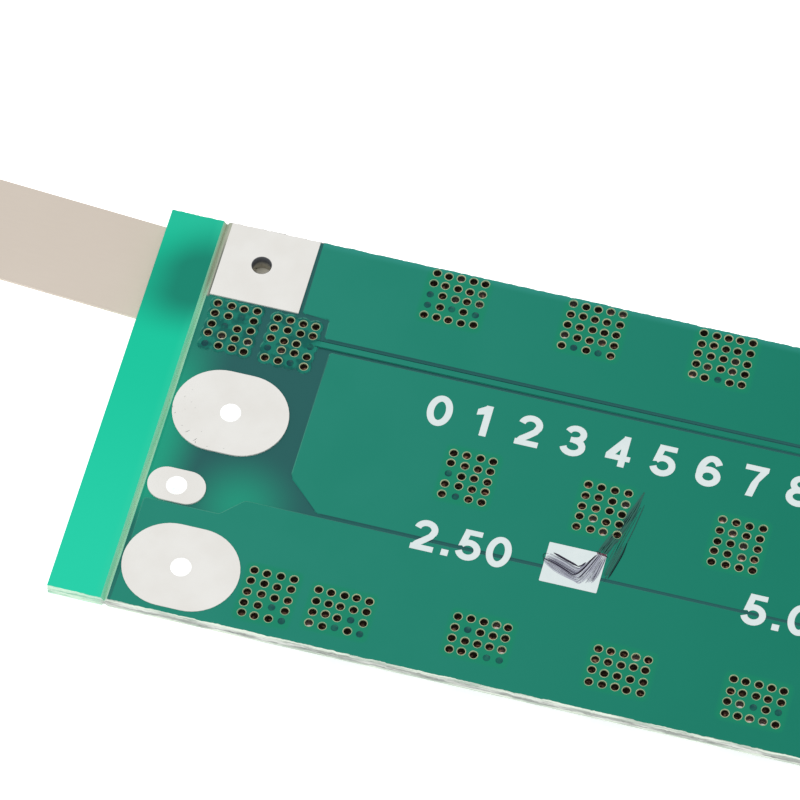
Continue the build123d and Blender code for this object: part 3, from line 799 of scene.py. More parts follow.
def rail_mask():
    """Mask on the copper-free rail: bright with light from below, except over the nickel strip."""
    nodes = Nodes("rail_mask")
    x, y, _ = nodes.axes()
    lit = nodes.mix(nodes.rise(y, NEAR_EDGE, 5.0), srgb(38, 207, 168), srgb(26, 197, 157))
    lit = nodes.mix(nodes.rise(y, 8.5, FAR_EDGE), lit, srgb(38, 190, 155))
    slanted = nodes.math("MULTIPLY_ADD", nodes.math("SUBTRACT", x, RAIL_END * MM), -0.4, y)
    over_strip = nodes.times(nodes.rise(y, 3.4, 6.6), nodes.fall(slanted, 7.4, 10.9))
    from_end = nodes.math("MULTIPLY_ADD", nodes.rise(x, RAIL_END - 0.6, RAIL_END + 2.0), 0.6, 0.46)
    tone = nodes.over(lit, srgb(27, 134, 112), over_strip, from_end)
    by_groove = nodes.rise(x, SCORE_LEFT - 0.5, SCORE_LEFT)
    beside_strip = nodes.math("SUBTRACT", 1.0, over_strip)
    tone = nodes.over(tone, srgb(60, 205, 165), by_groove, beside_strip, 0.3)
    nodes.bump(nodes.noise(1.6, 2.0), 0.06, 0.02)
    return nodes.set(colour=tone, roughness=0.5, specular=0.04)


def raw_laminate():
    """Glass laminate laid bare by a cut: pale green, greyer beside the square pad, and with painted light on
    the slope by the rail.
    """
    nodes = Nodes("raw_laminate")
    x, y, _ = nodes.axes()
    streaks = nodes.noise(1.2, 4.0, (4.0, 0.25, 1.0))
    streaked = nodes.ramp(streaks, 0.3, 0.7)
    green = nodes.mix(streaked, srgb(146, 214, 184), srgb(186, 222, 198))
    grey = nodes.mix(streaked, srgb(156, 168, 148), srgb(192, 200, 178))
    tone = nodes.mix(nodes.rise(y, strip[1] - 1.0, strip[1] + 1.5), green, grey)
    # The score's slope by the rail is painted lighter and mint: painted light on that side.
    tone = nodes.over(tone, srgb(128, 226, 190), nodes.fall(x, SCORE_LEFT, SCORE_LEFT + 0.14), 0.7)
    nodes.bump(streaks, 0.25, 0.03)
    return nodes.set(colour=tone, roughness=0.75, specular=0.1)


def snapped_edge():
    """Torn glass fibres of a snapped edge, in layers: pale skins, a grey core and one dark line."""
    nodes = Nodes("snapped_edge")
    x, _, z = nodes.axes()
    along = (1.0, 0.0, 0.0)
    fibres = nodes.noise(2.4, 5.0, (0.2, 1.0, 2.4))
    wander = nodes.math("MULTIPLY_ADD", nodes.noise(0.35, 3.0, along), 0.3 * MM, -0.15 * MM)
    level = nodes.math("ADD", z, wander)
    torn = nodes.ramp(fibres, 0.35, 0.6)
    pale = nodes.mix(torn, srgb(176, 190, 178), srgb(222, 232, 218))
    core = nodes.mix(nodes.ramp(fibres, 0.4, 0.62), srgb(162, 168, 162), srgb(218, 222, 216))
    in_core = nodes.times(nodes.rise(level, -0.68, -0.56), nodes.fall(level, -0.36, -0.2))
    line = nodes.times(nodes.rise(level, -0.58, -0.53), nodes.fall(level, -0.53, -0.48))
    broken = nodes.ramp(nodes.noise(0.5, 4.0, along), 0.42, 0.58)
    on_rail = nodes.fall(x, SCORE_LEFT - 0.3, SCORE_RIGHT)
    dark = nodes.mix(on_rail, srgb(92, 100, 104), srgb(130, 190, 164))
    tone = nodes.over(nodes.mix(in_core, pale, core), dark, line, broken, 0.75)
    mint = nodes.mix(torn, srgb(148, 212, 182), srgb(206, 238, 212))
    tone = nodes.over(tone, mint, on_rail, 0.75)
    nodes.bump(fibres, 0.5, 0.03)
    return nodes.set(colour=tone, roughness=0.85, specular=0.1)


def via_wall():
    """Plated copper inside a via: brown, and paler where light reaches it from below."""
    nodes = Nodes("via_wall")
    stain = nodes.noise(5.0)
    which = nodes.ramp(nodes.noise(1.3, 0.0), 0.42, 0.66)
    deep = nodes.fall(nodes.axes()[2], -0.66, -0.26)
    lit = nodes.times(deep, nodes.math("MULTIPLY_ADD", which, 0.75, 0.25))
    low = nodes.mix(nodes.ramp(stain, 0.42, 0.64), srgb(52, 34, 30), srgb(176, 128, 106))
    tone = nodes.mix(lit, srgb(30, 25, 20), low)
    # Painted glow of light from below: emission in the deep, mottled part of the wall.
    painted_glow = nodes.over(srgb(16, 14, 10), srgb(168, 128, 106), lit, nodes.ramp(stain, 0.46, 0.66))
    return nodes.set(colour=tone, roughness=0.5, metallic=0.2, specular=0.2, emission=painted_glow, strength=0.6)


def tinned():
    """Tinned copper of the pads, warm and nearly matt."""
    nodes = Nodes("tinned_copper")
    soft = nodes.noise(0.4, 4.0)
    tone = nodes.mix(nodes.ramp(soft, 0.3, 0.7), srgb(228, 226, 221), srgb(233, 232, 228))
    nodes.bump(nodes.math("MULTIPLY_ADD", nodes.noise(12.0), 0.3, soft), 0.1, 0.02)
    return nodes.set(colour=tone, roughness=0.55, metallic=0.1, specular=0.2)


def shaded_hole_tin():
    """Tin in the hole that the strip closes, with painted shade: dark near the mouth, and paler below."""
    nodes = Nodes("shaded_hole_tin")
    deep = nodes.fall(nodes.axes()[2], -0.75, -0.35)
    tone = nodes.mix(deep, srgb(84, 86, 90), srgb(212, 208, 196))
    return nodes.set(colour=tone, roughness=0.5, metallic=0.1)


def nickel():
    """Rolled nickel: warm grey, with a faint grain along the strip."""
    nodes = Nodes("nickel")
    grain = nodes.noise(6.0, 4.0, (0.15, 1.0, 1.0))
    share = nodes.math("MULTIPLY_ADD", grain, 0.25, nodes.noise(0.12, 2.0))
    tone = nodes.mix(share, srgb(204, 192, 179), srgb(214, 203, 191))
    nodes.bump(grain, 0.05, 0.01)
    return nodes.set(colour=tone, roughness=0.55, metallic=0.1, specular=0.2)


def stained(name, first, second, scale, detail, limits=None, **settings):
    """A smooth finish whose two tones are mixed by noise, more sharply between limits."""
    nodes = Nodes(name)
    stain = nodes.noise(scale, detail)
    if limits:
        stain = nodes.ramp(stain, *limits)
    return nodes.set(colour=nodes.mix(stain, srgb(*first), srgb(*second)), **settings)


def plain(name, first, second, scale, roughness, bump=0.1, **settings):
    """A finish whose two tones and fine relief follow the same noise."""
    nodes = Nodes(name)
    stain = nodes.noise(scale, 4.0)
    nodes.bump(stain, bump, 0.03)
    return nodes.set(colour=nodes.mix(stain, srgb(*first), srgb(*second)), roughness=roughness, **settings)


print_ink = plain("print_ink", (212, 225, 226), (225, 234, 233), 1.5, 0.6)
moulding = plain("black_moulding", (24, 24, 26), (38, 38, 40), 9.0, 0.55, bump=0.3)
leads = plain("tinned_leads", (190, 190, 188), (222, 222, 218), 2.5, 0.32, metallic=0.8)
solder = plain("solder", (180, 182, 184), (225, 226, 226), 3.0, 0.3, metallic=0.8)
resistor_ceramic = plain("resistor_ceramic", (18, 18, 20), (34, 34, 38), 6.0, 0.3)
capacitor_ceramic = plain("capacitor_ceramic", (168, 128, 92), (188, 148, 108), 4.0, 0.5)
hole_floor = plain("strip_solder", (190, 188, 174), (214, 210, 196), 3.0, 0.5, metallic=0.15)
chip_caps = plain("chip_caps", (196, 196, 194), (226, 226, 222), 4.0, 0.35, metallic=0.7)
tin = tinned()
nickel_finish = nickel()
# Solder risen into some vias, glowing by emission: a painted glint.
solder_with_painted_glint = stained(
    "via_solder_painted_glint", (186, 180, 172), (226, 222, 216), 4.0, 2.0,
    roughness=0.35, metallic=0.2, emission=(1.0, 0.96, 0.92, 1.0), strength=0.35,
)
sagged_mask = stained(
    "via_plug", (0, 66, 70), (4, 100, 86), 1.5, 2.0, (0.35, 0.65), roughness=0.4, specular=0.2
)
bare_rim = stained(
    "via_ring", (138, 170, 134), (182, 190, 152), 1.5, 3.0, (0.35, 0.65), roughness=0.5, specular=0.3
)
# Plating of the open wire holes: near white and glowing by emission, painted light from below.
lit_hole_tin = stained(
    "lit_hole_tin", (244, 246, 246), (252, 254, 254), 3.0, 2.0,
    roughness=0.4, metallic=0.1, emission=WHITE, strength=0.32,
)

board = build_board([
    mask_over_copper(), mask_over_laminate(), rail_mask(), raw_laminate(), snapped_edge(), via_wall(),
    solder_with_painted_glint, sagged_mask,
])
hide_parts("board")


# Rings and plated holes

def build_turned(name, profile, places, sides, material):
    """Closed rings of a profile, given as radius and rise, round places that have a level each."""
    points = []
    faces = []
    for place, level in places:
        faces += tube(len(points), len(profile), sides, True)
        for radius, rise in profile:
            points += [(x, y, level + rise) for x, y in circle(place, radius, sides)]
    new_piece(name, points, faces, [material], "tinned_copper", smooth=True)


RING_PROFILE = [
    (RING_RADIUS, -0.01), (RING_RADIUS - 0.02, RING_RISE), (VIA_RADIUS + 0.01, RING_RISE),
    (VIA_RADIUS - 0.012, -0.01), (VIA_RADIUS - 0.012, -0.12), (VIA_RADIUS + 0.004, -0.12),
]
PLATING_PROFILE = [
    (WIRE_HOLE_RADIUS, 0.03), (WIRE_HOLE_RADIUS - 0.03, 0.02),
    (WIRE_HOLE_RADIUS - 0.03, UNDERSIDE - 0.02), (WIRE_HOLE_RADIUS, UNDERSIDE - 0.03),
]
via_places = [(place, top_height(*place)) for place in OPEN_VIAS]
hole_places = [(hole, 0.0) for hole in HOLES]
build_turned("via_rings", RING_PROFILE, via_places, VIA_SIDES, bare_rim)
build_turned("wire_hole_plating", PLATING_PROFILE, hole_places[:3], HOLE_SIDES, lit_hole_tin)
build_turned("strip_hole_plating", PLATING_PROFILE, hole_places[3:], HOLE_SIDES, shaded_hole_tin())


# Pads under the small parts

def solder_footprints(node):
    """Boxes of the flat tops of a solder node's patches, as low x, low y, high x, high y."""
    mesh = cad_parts[node].data
    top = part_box(node)[1].z / MM
    boxes = []
    for face in mesh.polygons:
        corners = [mesh.vertices[index].co / MM for index in face.vertices]
        if min(corner.z for corner in corners) < top - 0.001:
            continue
        xs = [corner.x for corner in corners]
        ys = [corner.y for corner in corners]
        box = (min(xs), min(ys), max(xs), max(ys))
        for other in [known for known in boxes if (
            known[0] <= box[2] and box[0] <= known[2] and known[1] <= box[3] and box[1] <= known[3]
        )]:
            boxes.remove(other)
            box = (min(box[0], other[0]), min(box[1], other[1]), max(box[2], other[2]), max(box[3], other[3]))
        boxes.append(box)
    return boxes


def build_part_pads():
    """Tinned pads between the laminate and the solder under the small parts."""
    points = []
    faces = []
    for box in solder_footprints("controls_solder"):
        start = len(points)
        for level in (UNDERSIDE, UNDERSIDE + COPPER_RELIEF + 0.005):
            points += [(x, y, level) for x, y in bar(*box)]
        for ring in ((3, 2, 1, 0), (4, 5, 6, 7), (0, 1, 5, 4), (1, 2, 6, 5), (2, 3, 7, 6), (3, 0, 4, 7)):
            faces.append(tuple(start + index for index in ring))
    new_piece("part_pads", points, faces, [tin], "tinned_copper")


build_part_pads()


# Print: numerals drawn from strokes, in units of the height of a capital

STROKE = 0.195


def arc(centre_x, centre_y, radius_x, radius_y, start, stop, steps=14):
    """Points of an elliptic arc between two angles in degrees."""
    angles = [math.radians(start + (stop - start) * step / steps) for step in range(steps + 1)]
    return [(centre_x + radius_x * math.cos(turn), centre_y + radius_y * math.sin(turn)) for turn in angles]


def widened(points, width=STROKE):
    """Outline of a stroke of constant width along a line."""
    left = []
    right = []
    last = len(points) - 1
    closed = math.dist(points[0], points[last]) < 1e-9
    for here, point in enumerate(points):
        before = Vector(points[here - 1 if here > 0 else (last - 1 if closed else 0)])
        after = Vector(points[here + 1 if here < last else (1 if closed else last)])
        along = (after - before).normalized()
        left.append((point[0] - along.y * width / 2, point[1] + along.x * width / 2))
        right.append((point[0] + along.y * width / 2, point[1] - along.x * width / 2))
    return right + left[::-1]


SIX = [
    widened(arc(0.36, 0.32, 0.255, 0.225, 0, 360, 32)),
    widened(arc(0.38, 0.45, 0.275, 0.455, 38, 200, 20)),
]
GLYPHS = {
    "0": [widened(arc(0.365, 0.5, 0.26, 0.405, 0, 360, 40))],
    "1": [
        bar(0.31, 0, 0.51, 1),
        [(0.1, 0.64), (0.31, 0.7), (0.4, 0.8), (0.51, 1.0), (0.35, 1.0), (0.1, 0.83)],
    ],
    "2": [
        widened(arc(0.36, 0.68, 0.25, 0.225, 172, -26)),
        widened([(0.6, 0.64), (0.54, 0.5), (0.38, 0.35), (0.2, 0.2), (0.13, 0.08)]),
        bar(0.03, 0, 0.7, STROKE * 0.92),
    ],
    "3": [
        widened(arc(0.36, 0.715, 0.225, 0.19, 165, -90), STROKE * 0.96),
        widened(arc(0.36, 0.31, 0.265, 0.215, 90, -168)),
        bar(0.25, 0.435, 0.38, 0.61),
    ],
    "4": [
        bar(0.41, 0, 0.6, 1), bar(0.02, 0.2, 0.72, 0.37),
        [(0.02, 0.37), (0.02, 0.3), (0.26, 0.34), (0.44, 0.62), (0.44, 1.0)],
    ],
    "5": [
        bar(0.14, 0.83, 0.65, 1), [(0.05, 0.43), (0.24, 0.47), (0.32, 0.9), (0.14, 0.95)],
        widened(arc(0.35, 0.34, 0.265, 0.245, 146, -165, 20)),
    ],
    "6": SIX,
    "7": [
        bar(0.03, 0.83, 0.69, 1),
        [(0.47, 0.86), (0.69, 0.86), (0.49, 0.5), (0.4, 0.0), (0.19, 0.0), (0.28, 0.44)],
    ],
    "8": [
        widened(arc(0.365, 0.715, 0.22, 0.19, 0, 360, 32), STROKE * 0.96),
        widened(arc(0.365, 0.31, 0.265, 0.215, 0, 360, 32)),
    ],
    "9": [[(0.73 - x, 1 - y) for x, y in stroke] for stroke in SIX],
    ".": [bar(0.08, 0, 0.29, 0.2)],
}
ADVANCES = {".": 0.38, "1": 0.68}
ADVANCE = 0.77
LETTER_GAP = 0.08
PRINT_TOP = 0.012


def raised_print(name, outlines):
    """A thin closed piece that fills all the outlines, which may cross each other."""
    places, faces, x, y = triangulate(outlines)
    within = np.zeros(len(faces), bool)
    for outline in outlines:
        within |= inside(outline, x, y)
    tops = [tuple(int(index) for index in face) for face in faces[within]]
    edges = [edge for face in tops for edge in zip(face, face[1:] + face[:1])]
    known = set(edges)
    count = len(places)
    all_faces = tops + [tuple(index + count for index in face[::-1]) for face in tops]
    all_faces += [(b, a, a + count, b + count) for a, b in edges if (b, a) not in known]
    points = [(*place, level) for level in (PRINT_TOP, 0.0) for place in places]
    used = sorted({index for face in all_faces for index in face})
    order = {index: number for number, index in enumerate(used)}
    all_faces = [tuple(order[index] for index in face) for face in all_faces]
    new_piece(name, [points[index] for index in used], all_faces, [print_ink], "masked_laminate")


def letters(name, text, height, place):
    """White print of some characters, starting at place."""
    outlines = []
    start = 0.0
    for character in text:
        for outline in GLYPHS[character]:
            outlines.append([(place[0] + (start + x) * height, place[1] + y * height) for x, y in outline])
        start += ADVANCES.get(character, ADVANCE) + LETTER_GAP
    raised_print(name, outlines)


# Two ratings with a box beside each, and the line of digits between the via blocks
RATING_START = RAIL_END + 17.45
RATING_LINE = -5.5
RATING_HEIGHT = 1.83
RATING_PITCH = 17.55
DIGIT_START = RAIL_END + 16.3
DIGIT_LINE = 1.97
DIGIT_PITCH = 2.42
DIGIT_HEIGHT = 1.88
TICK_BOX = (18.07, -5.69, 21.13, -3.32)
BOX_CORNER = 0.06
letters("rating_low", "2.50", RATING_HEIGHT, (RATING_START, RATING_LINE))
letters("rating_high", "5.00", RATING_HEIGHT, (RATING_START + RATING_PITCH, RATING_LINE))
for digit in range(10):
    letters(f"digit_{digit}", str(digit), DIGIT_HEIGHT, (DIGIT_START + DIGIT_PITCH * digit, DIGIT_LINE))
box_corners = bar(*TICK_BOX)
raised_print("tick_box_low", [rounded(box_corners, BOX_CORNER)])
raised_print("tick_box_high", [rounded([(x + RATING_PITCH, y) for x, y in box_corners], BOX_CORNER)])


# The pen tick: bundles of thin strokes, each a ribbon of ink

def smooth_line(knots, samples=8):
    """A smooth line through the knots, with a number of samples between each two."""
    knots = [Vector(knot) for knot in knots]
    knots = [2 * knots[0] - knots[1], *knots, 2 * knots[-1] - knots[-2]]
    points = []
    for span in range(len(knots) - 3):
        a, b, c, d = knots[span:span + 4]
        for step in range(samples):
            t = step / samples
            points.append(0.5 * (
                2 * b + (c - a) * t + (2 * a - 5 * b + 4 * c - d) * t * t + (3 * b - a - 3 * c + d) * t ** 3
            ))
    points.append(knots[-2])
    return points


def ink_at(place, inks):
    """Of a pair of inks, the first on the ticked box and the second beside it."""
    on_box = TICK_BOX[0] < place[0] < TICK_BOX[2] and TICK_BOX[1] < place[1] < TICK_BOX[3]
    return inks[0] if on_box else inks[1]


class Strokes:
    """Closed ribbons that stand up from one level, gathered into one piece."""

    def __init__(self, low):
        self.low = low
        self.points = []
        self.faces = []
        self.kinds = []

    def add(self, line, width, top, inks):
        """A ribbon along a line that stops at open vias, in one of a pair of inks."""
        run = []
        for point in line:
            if any(math.hypot(point.x - x, point.y - y) < VIA_RADIUS for x, y in OPEN_VIAS):
                self.ribbon(run, width, top, inks)
                run = []
            else:
                run.append(point)
        self.ribbon(run, width, top, inks)

    def ribbon(self, line, width, top, inks):
        """One closed ribbon, thinner at its ends."""
        if len(line) < 3:
            return
        start = len(self.points)
        last = len(line) - 1
        for here, point in enumerate(line):
            along = (line[min(here + 1, last)] - line[max(here - 1, 0)]).normalized()
            share = here / last
            half = width / 2 * min(1.0, 0.3 + 4 * share, 0.3 + 4 * (1 - share))
            across = Vector((-along.y, along.x)) * half
            for side in (point + across, point - across):
                self.points += [(side.x, side.y, top), (side.x, side.y, self.low)]
        for here in range(last):
            a = start + 4 * here
            self.faces += [
                (a, a + 2, a + 6, a + 4), (a + 1, a + 5, a + 7, a + 3),
                (a, a + 4, a + 5, a + 1), (a + 2, a + 3, a + 7, a + 6),
            ]
            self.kinds += [ink_at((line[here] + line[here + 1]) / 2, inks)] * 4
        end = start + 4 * last
        self.faces += [(start, start + 1, start + 3, start + 2), (end, end + 2, end + 3, end + 1)]
        self.kinds += [ink_at(line[0], inks)] * 2

    def finish(self, name, materials, slot):
        """Makes the piece."""
        new_piece(name, self.points, self.faces, materials, slot, self.kinds)


# Each ink's two tones and the scale of its mottling
INK_TONES = {
    "ink_black": ((34, 30, 44), (62, 56, 74), 6.0),
    "ink_violet": ((88, 90, 106), (128, 130, 144), 6.0),
    "ink_faint": ((150, 152, 168), (178, 182, 192), 6.0),
    "ink_on_green": ((48, 98, 88), (54, 108, 96), 3.0),
    "ink_on_green_dark": ((44, 76, 74), (48, 92, 84), 4.0),
    "ink_on_green_black": ((28, 58, 58), (34, 74, 70), 5.0),
    "ink_red": ((78, 44, 56), (112, 72, 88), 5.0),
}
BLACK, VIOLET, FAINT, GREEN_FAINT, GREEN_DARK, GREEN_BLACK, RED = range(7)
INKS = [plain(name, *tones, 0.6, specular=0.1) for name, tones in INK_TONES.items()]
INK_TOP = 0.0155
pen = random.Random(11)
tick = Strokes(0.0)

# Pairs of inks, on the box and beside it
BLACK_DARK = (BLACK, GREEN_DARK)
VIOLET_DARK = (VIOLET, GREEN_DARK)
FAINT_DARK = (FAINT, GREEN_DARK)
VIOLET_FAINT = (VIOLET, GREEN_FAINT)
VIOLET_BLACK = (VIOLET, GREEN_BLACK)


def bundle(low, high, count, widths, inks, wander, trims=(0,)):
    """Ribbons spread between two lines, each with a width and a pair of inks drawn by lot."""
    for number in range(count):
        share = (number + 0.5) / count
        knots = []
        for first, second in zip(low, high):
            aside = Vector((pen.uniform(-wander, wander), pen.uniform(-wander, wander)))
            knots.append((Vector(first) + aside).lerp(Vector(second) + aside, share))
        line = smooth_line(knots)
        head = pen.choice(trims)
        tail = len(line) - pen.choice(trims)
        pair = pen.choice(inks)
        level = INK_TOP - 0.0004 * pen.randrange(8)
        tick.add(line[head:tail], pen.uniform(*widths), level, pair)


UPPER_V = [(18.3, -3.97), (19.12, -4.22), (19.82, -4.44), (20.06, -4.3), (20.3, -3.95), (20.55, -3.55)]
MIDDLE_V = [(17.98, -4.36), (18.56, -4.5), (19.66, -4.92), (19.9, -4.76), (20.24, -4.16), (20.66, -3.42)]
LOWER_V = [(18.05, -4.56), (18.8, -4.98), (19.76, -5.28), (20.18, -5.34), (20.5, -4.6), (20.86, -3.42)]
LEFT_RISE = [(20.1, -5.3), (20.34, -4.9), (20.55, -4.2), (20.84, -3.4)]
RIGHT_RISE = [(20.86, -5.16), (20.98, -4.66), (21.08, -3.94), (21.13, -3.36)]

# Short arm, faint strokes first and dark ones on top
bundle(MIDDLE_V, LOWER_V, 12, (0.02, 0.04), [FAINT_DARK, FAINT_DARK, VIOLET_DARK], 0.02)
bundle(UPPER_V, MIDDLE_V, 11, (0.03, 0.055), [VIOLET_DARK, VIOLET_DARK, FAINT_DARK], 0.015)
bundle(LEFT_RISE, RIGHT_RISE, 22, (0.018, 0.034), [VIOLET_DARK, FAINT_DARK], 0.02, (0, 1, 3, 5))
bundle(LEFT_RISE, RIGHT_RISE, 5, (0.018, 0.028), [BLACK_DARK, VIOLET_DARK], 0.02, (0, 2, 5))
bundle(MIDDLE_V[3:], LOWER_V[3:], 5, (0.03, 0.05), [VIOLET_DARK, BLACK_DARK], 0.02)
DARK_LINES = [
    ([(18.43, -3.9), (19.12, -4.14), (19.87, -4.38)], 0.12),
    ([(19.84, -4.38), (20.01, -4.27), (20.18, -4.04)], 0.075),
    ([(18.02, -4.36), (18.58, -4.49), (19.14, -4.69), (19.7, -4.93)], 0.07),
    ([(18.24, -4.28), (18.8, -4.46), (19.3, -4.64), (19.8, -4.84)], 0.035),
    ([(19.66, -4.92), (19.92, -4.78), (20.16, -4.4), (20.36, -3.95), (20.56, -3.5)], 0.075),
    ([(19.84, -4.88), (20.02, -4.68), (20.26, -4.2), (20.5, -3.62)], 0.04),
]
for line, width in DARK_LINES:
    tick.add(smooth_line(line), width, INK_TOP + 0.0008, (BLACK, GREEN_BLACK))
LOOP = [(18.2, -4.02), (18.0, -4.06), (17.94, -4.22), (18.1, -4.36), (18.3, -4.3)]
tick.add(smooth_line(LOOP, 6), 0.03, INK_TOP, VIOLET_BLACK)

# Long arm on the mask: a broad faint sweep past the vias, and thin lines in it and beside it
SWEEP_LEFT = [
    (20.6, -3.26), (20.8, -2.7), (21.02, -2.2), (21.24, -1.76), (21.44, -1.04), (21.68, -0.35), (21.92, 0.2),
    (22.1, 0.78),
]
SWEEP_RIGHT = [
    (21.14, -3.3), (21.26, -2.83), (21.46, -2.32), (21.68, -1.71), (21.84, -1.05), (21.98, -0.45),
    (22.06, 0.1), (22.13, 0.78),
]
SWEEP_INKS = [VIOLET_FAINT, VIOLET_FAINT, VIOLET_DARK]
bundle(SWEEP_LEFT, SWEEP_RIGHT, 17, (0.045, 0.08), SWEEP_INKS, 0.03, (0, 0, 4, 9))
bundle(SWEEP_LEFT[:4], SWEEP_RIGHT[:4], 11, (0.045, 0.08), [VIOLET_DARK, VIOLET_FAINT], 0.03, (0, 0, 3))
bundle(SWEEP_LEFT[3:], SWEEP_RIGHT[3:], 6, (0.02, 0.04), [VIOLET_BLACK, VIOLET_DARK], 0.03, (0, 2, 5))
bundle(SWEEP_RIGHT[4:], SWEEP_RIGHT[4:], 3, (0.03, 0.05), [VIOLET_BLACK], 0.025, (0, 2))
BESIDE_BOX_LEFT = [(21.2, -4.95), (21.25, -4.4), (21.34, -3.8), (21.48, -3.1), (21.64, -2.4)]
BESIDE_BOX_RIGHT = [(21.42, -4.85), (21.56, -4.4), (21.72, -3.7), (21.86, -3.0), (21.94, -2.4)]
bundle(BESIDE_BOX_LEFT, BESIDE_BOX_RIGHT, 7, (0.025, 0.05), [VIOLET_FAINT], 0.03, (0, 3, 6, 9))
THIN_LINES = [
    ([(21.5, -4.68), (21.6, -4.31), (21.76, -3.64), (21.89, -3.04), (21.96, -2.4)], 0.095, VIOLET_BLACK),
    (
        [
            (21.9, -3.0), (21.96, -2.4), (22.03, -1.96), (22.13, -1.34), (22.2, -0.75), (22.26, -0.29),
            (22.3, 0.06),
        ],
        0.04, VIOLET_DARK,
    ),
    ([(21.56, -4.5), (21.7, -4.0), (21.85, -3.4), (21.93, -2.8)], 0.03, VIOLET_DARK),
    ([(21.25, -3.71), (21.4, -2.95), (21.52, -2.33), (21.71, -1.64)], 0.035, VIOLET_FAINT),
    ([(21.3, -4.1), (21.44, -3.4), (21.56, -2.75), (21.76, -1.9)], 0.03, VIOLET_FAINT),
    (
        [(21.5, -3.21), (21.6, -2.49), (21.74, -1.83), (21.88, -1.16), (22.05, -0.54), (22.17, -0.13)],
        0.035, VIOLET_DARK,
    ),
    ([(21.66, -2.9), (21.78, -2.2), (21.92, -1.5), (22.1, -0.7)], 0.025, VIOLET_DARK),
]
for line, width, inks in THIN_LINES:
    tick.add(smooth_line(line), width, INK_TOP, inks)
for number in range(8):
    start = Vector((20.52 + 0.07 * number, -3.28 - 0.008 * number - 0.07 * (number % 2)))
    line = [start, start + Vector((0.1, -0.02)), start + Vector((0.2, -0.01 - 0.01 * number))]
    tick.add(line, 0.08, INK_TOP + 0.001, (RED, GREEN_BLACK))
tick.finish("pen_tick", INKS, "masked_laminate")

# Fine scratches and specks on the far pad, each with its start, length and direction in degrees
PAD_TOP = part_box("far_wire_pad")[1].z / MM
SCUFF_PLACES = [
    ((-3.0, -0.5), 0.25, 115), ((-2.85, -0.78), 0.12, 60), ((-2.3, -1.4), 0.1, 20), ((-2.0, -1.75), 0.3, 40),
    ((-1.45, -2.15), 0.26, 50), ((-1.3, -2.28), 0.16, 95), ((-0.7, -2.3), 0.1, 10), ((-2.6, 0.3), 0.1, 80),
    ((-2.2, 0.1), 0.08, 30), ((-1.9, -0.2), 0.07, 70), ((-2.4, -0.4), 0.06, 20), ((-1.2, -1.5), 0.07, 45),
    ((-2.35, 0.85), 0.06, 10), ((0.2, -2.2), 0.08, 15),
]
LONGEST_SPECK = 0.11
SCRATCH, SPECK = range(2)
scuffs = Strokes(PAD_TOP - 0.004)
for place, length, angle in SCUFF_PLACES:
    start = Vector(place)
    reach = Vector((math.cos(math.radians(angle)), math.sin(math.radians(angle)))) * length
    line = [start, start + reach * 0.5 + Vector((0.01, -0.01)), start + reach]
    if length > LONGEST_SPECK:
        scuffs.add(line, 0.028, PAD_TOP + 0.002, (SCRATCH, SCRATCH))
    else:
        scuffs.add(line, 0.035, PAD_TOP + 0.002, (SPECK, SPECK))
SCUFF_FINISHES = [
    plain("scratch", (92, 96, 98), (140, 140, 138), 6.0, 0.5),
    plain("scuff", (176, 176, 172), (200, 200, 196), 6.0, 0.5),
]
scuffs.finish("pad_scuffs", SCUFF_FINISHES, "tinned_copper")


# Finishes of the carried-over CAD nodes

FINISHES = {
    "far_wire_pad": tin, "near_wire_pad": tin, "sense_pad": tin, "strip_pad": tin,
    "nickel_strip": nickel_finish, "strip_solder": hole_floor, "far_row_solder": solder,
    "near_row_solder": solder, "controls_solder": solder, "protection_controller_body": moulding,
}


def finish_of(name):
    """The finish of a CAD node, or None for the board, which another piece stands for."""
    if name in FINISHES:
        return FINISHES[name]
    if name.endswith("_leads"):
        return leads
    if "mosfet" in name:
        return moulding
    if name.startswith("resistor"):
        return resistor_ceramic if name.endswith("_body") else chip_caps
    if name.startswith("capacitor"):
        return capacitor_ceramic if name.endswith("_body") else chip_caps
    return None


for name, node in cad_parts.items():
    finish = finish_of(name)
    if finish:
        node.data.materials.clear()
        node.data.materials.append(finish)


# Floor, light and camera

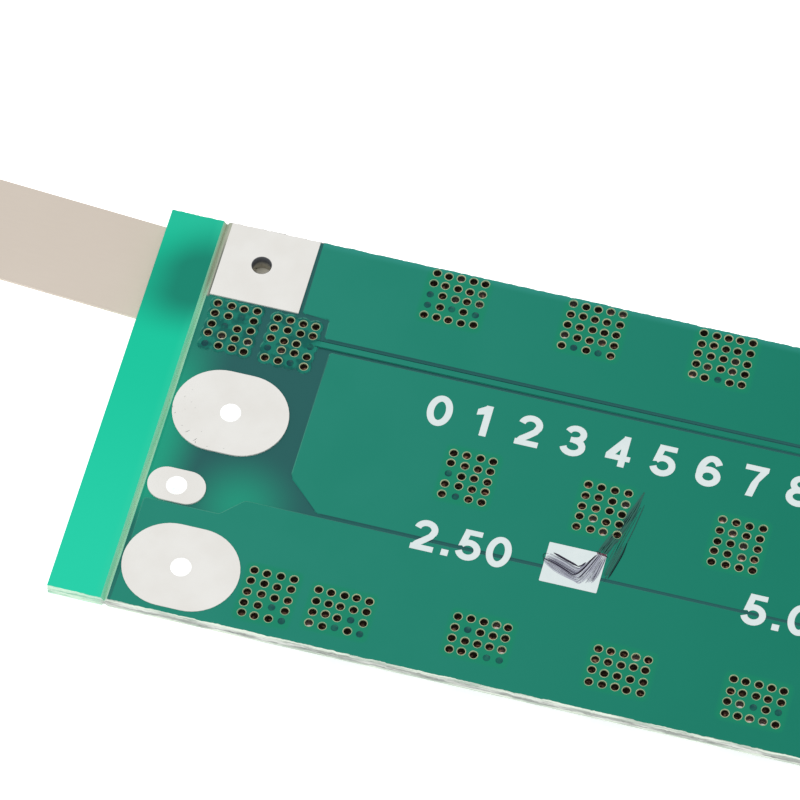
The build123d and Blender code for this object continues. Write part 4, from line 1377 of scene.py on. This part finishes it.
FLOOR_HALF = 1500.0
floor_nodes = Nodes("floor")
floor_finish = floor_nodes.set(colour=(0.8, 0.8, 0.8, 1.0), roughness=0.9, emission=WHITE, strength=0.75)
floor_points = [(x, y, FLOOR_LEVEL) for x, y in bar(-FLOOR_HALF, -FLOOR_HALF, FLOOR_HALF, FLOOR_HALF)]
floor = new_piece("floor", floor_points, [(0, 1, 2, 3)], [floor_finish])

world = bpy.data.worlds.new("studio")
world.use_nodes = True
background = world.node_tree.nodes["Background"]
background.inputs["Color"].default_value = WHITE
background.inputs["Strength"].default_value = 0.62
bpy.context.scene.world = world


def softbox(name, place, aim, size, power):
    """A square area light at a place, in metres, turned towards another."""
    light = bpy.data.lights.new(name, "AREA")
    light.shape = "SQUARE"
    light.size = size
    light.energy = power
    lamp = bpy.data.objects.new(name, light)
    bpy.context.scene.collection.objects.link(lamp)
    lamp.location = place
    lamp.rotation_euler = (Vector(aim) - Vector(place)).to_track_quat("-Z", "Y").to_euler()


softbox("overhead", (-0.15, -0.1, 0.8), (0.01, 0.0, 0.0), 0.7, 3.3)

CAMERA_PLACE = (51.024, -159.810, 278.138)
CAMERA_AZIMUTH = math.radians(14.6708)
CAMERA_ELEVATION = math.radians(58.8186)
LENS = 278.6
SENSOR = 36.0
camera_data = bpy.data.cameras.new("camera")
camera_data.lens = LENS
camera_data.sensor_width = SENSOR
camera_data.sensor_fit = "HORIZONTAL"
camera_data.clip_start = 0.01
camera_data.clip_end = 10.0
camera = bpy.data.objects.new("camera", camera_data)
bpy.context.scene.collection.objects.link(camera)
right = Vector((math.cos(CAMERA_AZIMUTH), math.sin(CAMERA_AZIMUTH), 0.0))
back = Vector((
    math.sin(CAMERA_AZIMUTH) * math.cos(CAMERA_ELEVATION),
    -math.cos(CAMERA_AZIMUTH) * math.cos(CAMERA_ELEVATION),
    math.sin(CAMERA_ELEVATION),
))
turn = Matrix((right, back.cross(right), back)).transposed().to_4x4()
camera.matrix_world = Matrix.Translation(Vector(CAMERA_PLACE) * MM) @ turn
bpy.context.scene.camera = camera
bpy.context.scene.view_settings.view_transform = "Standard"
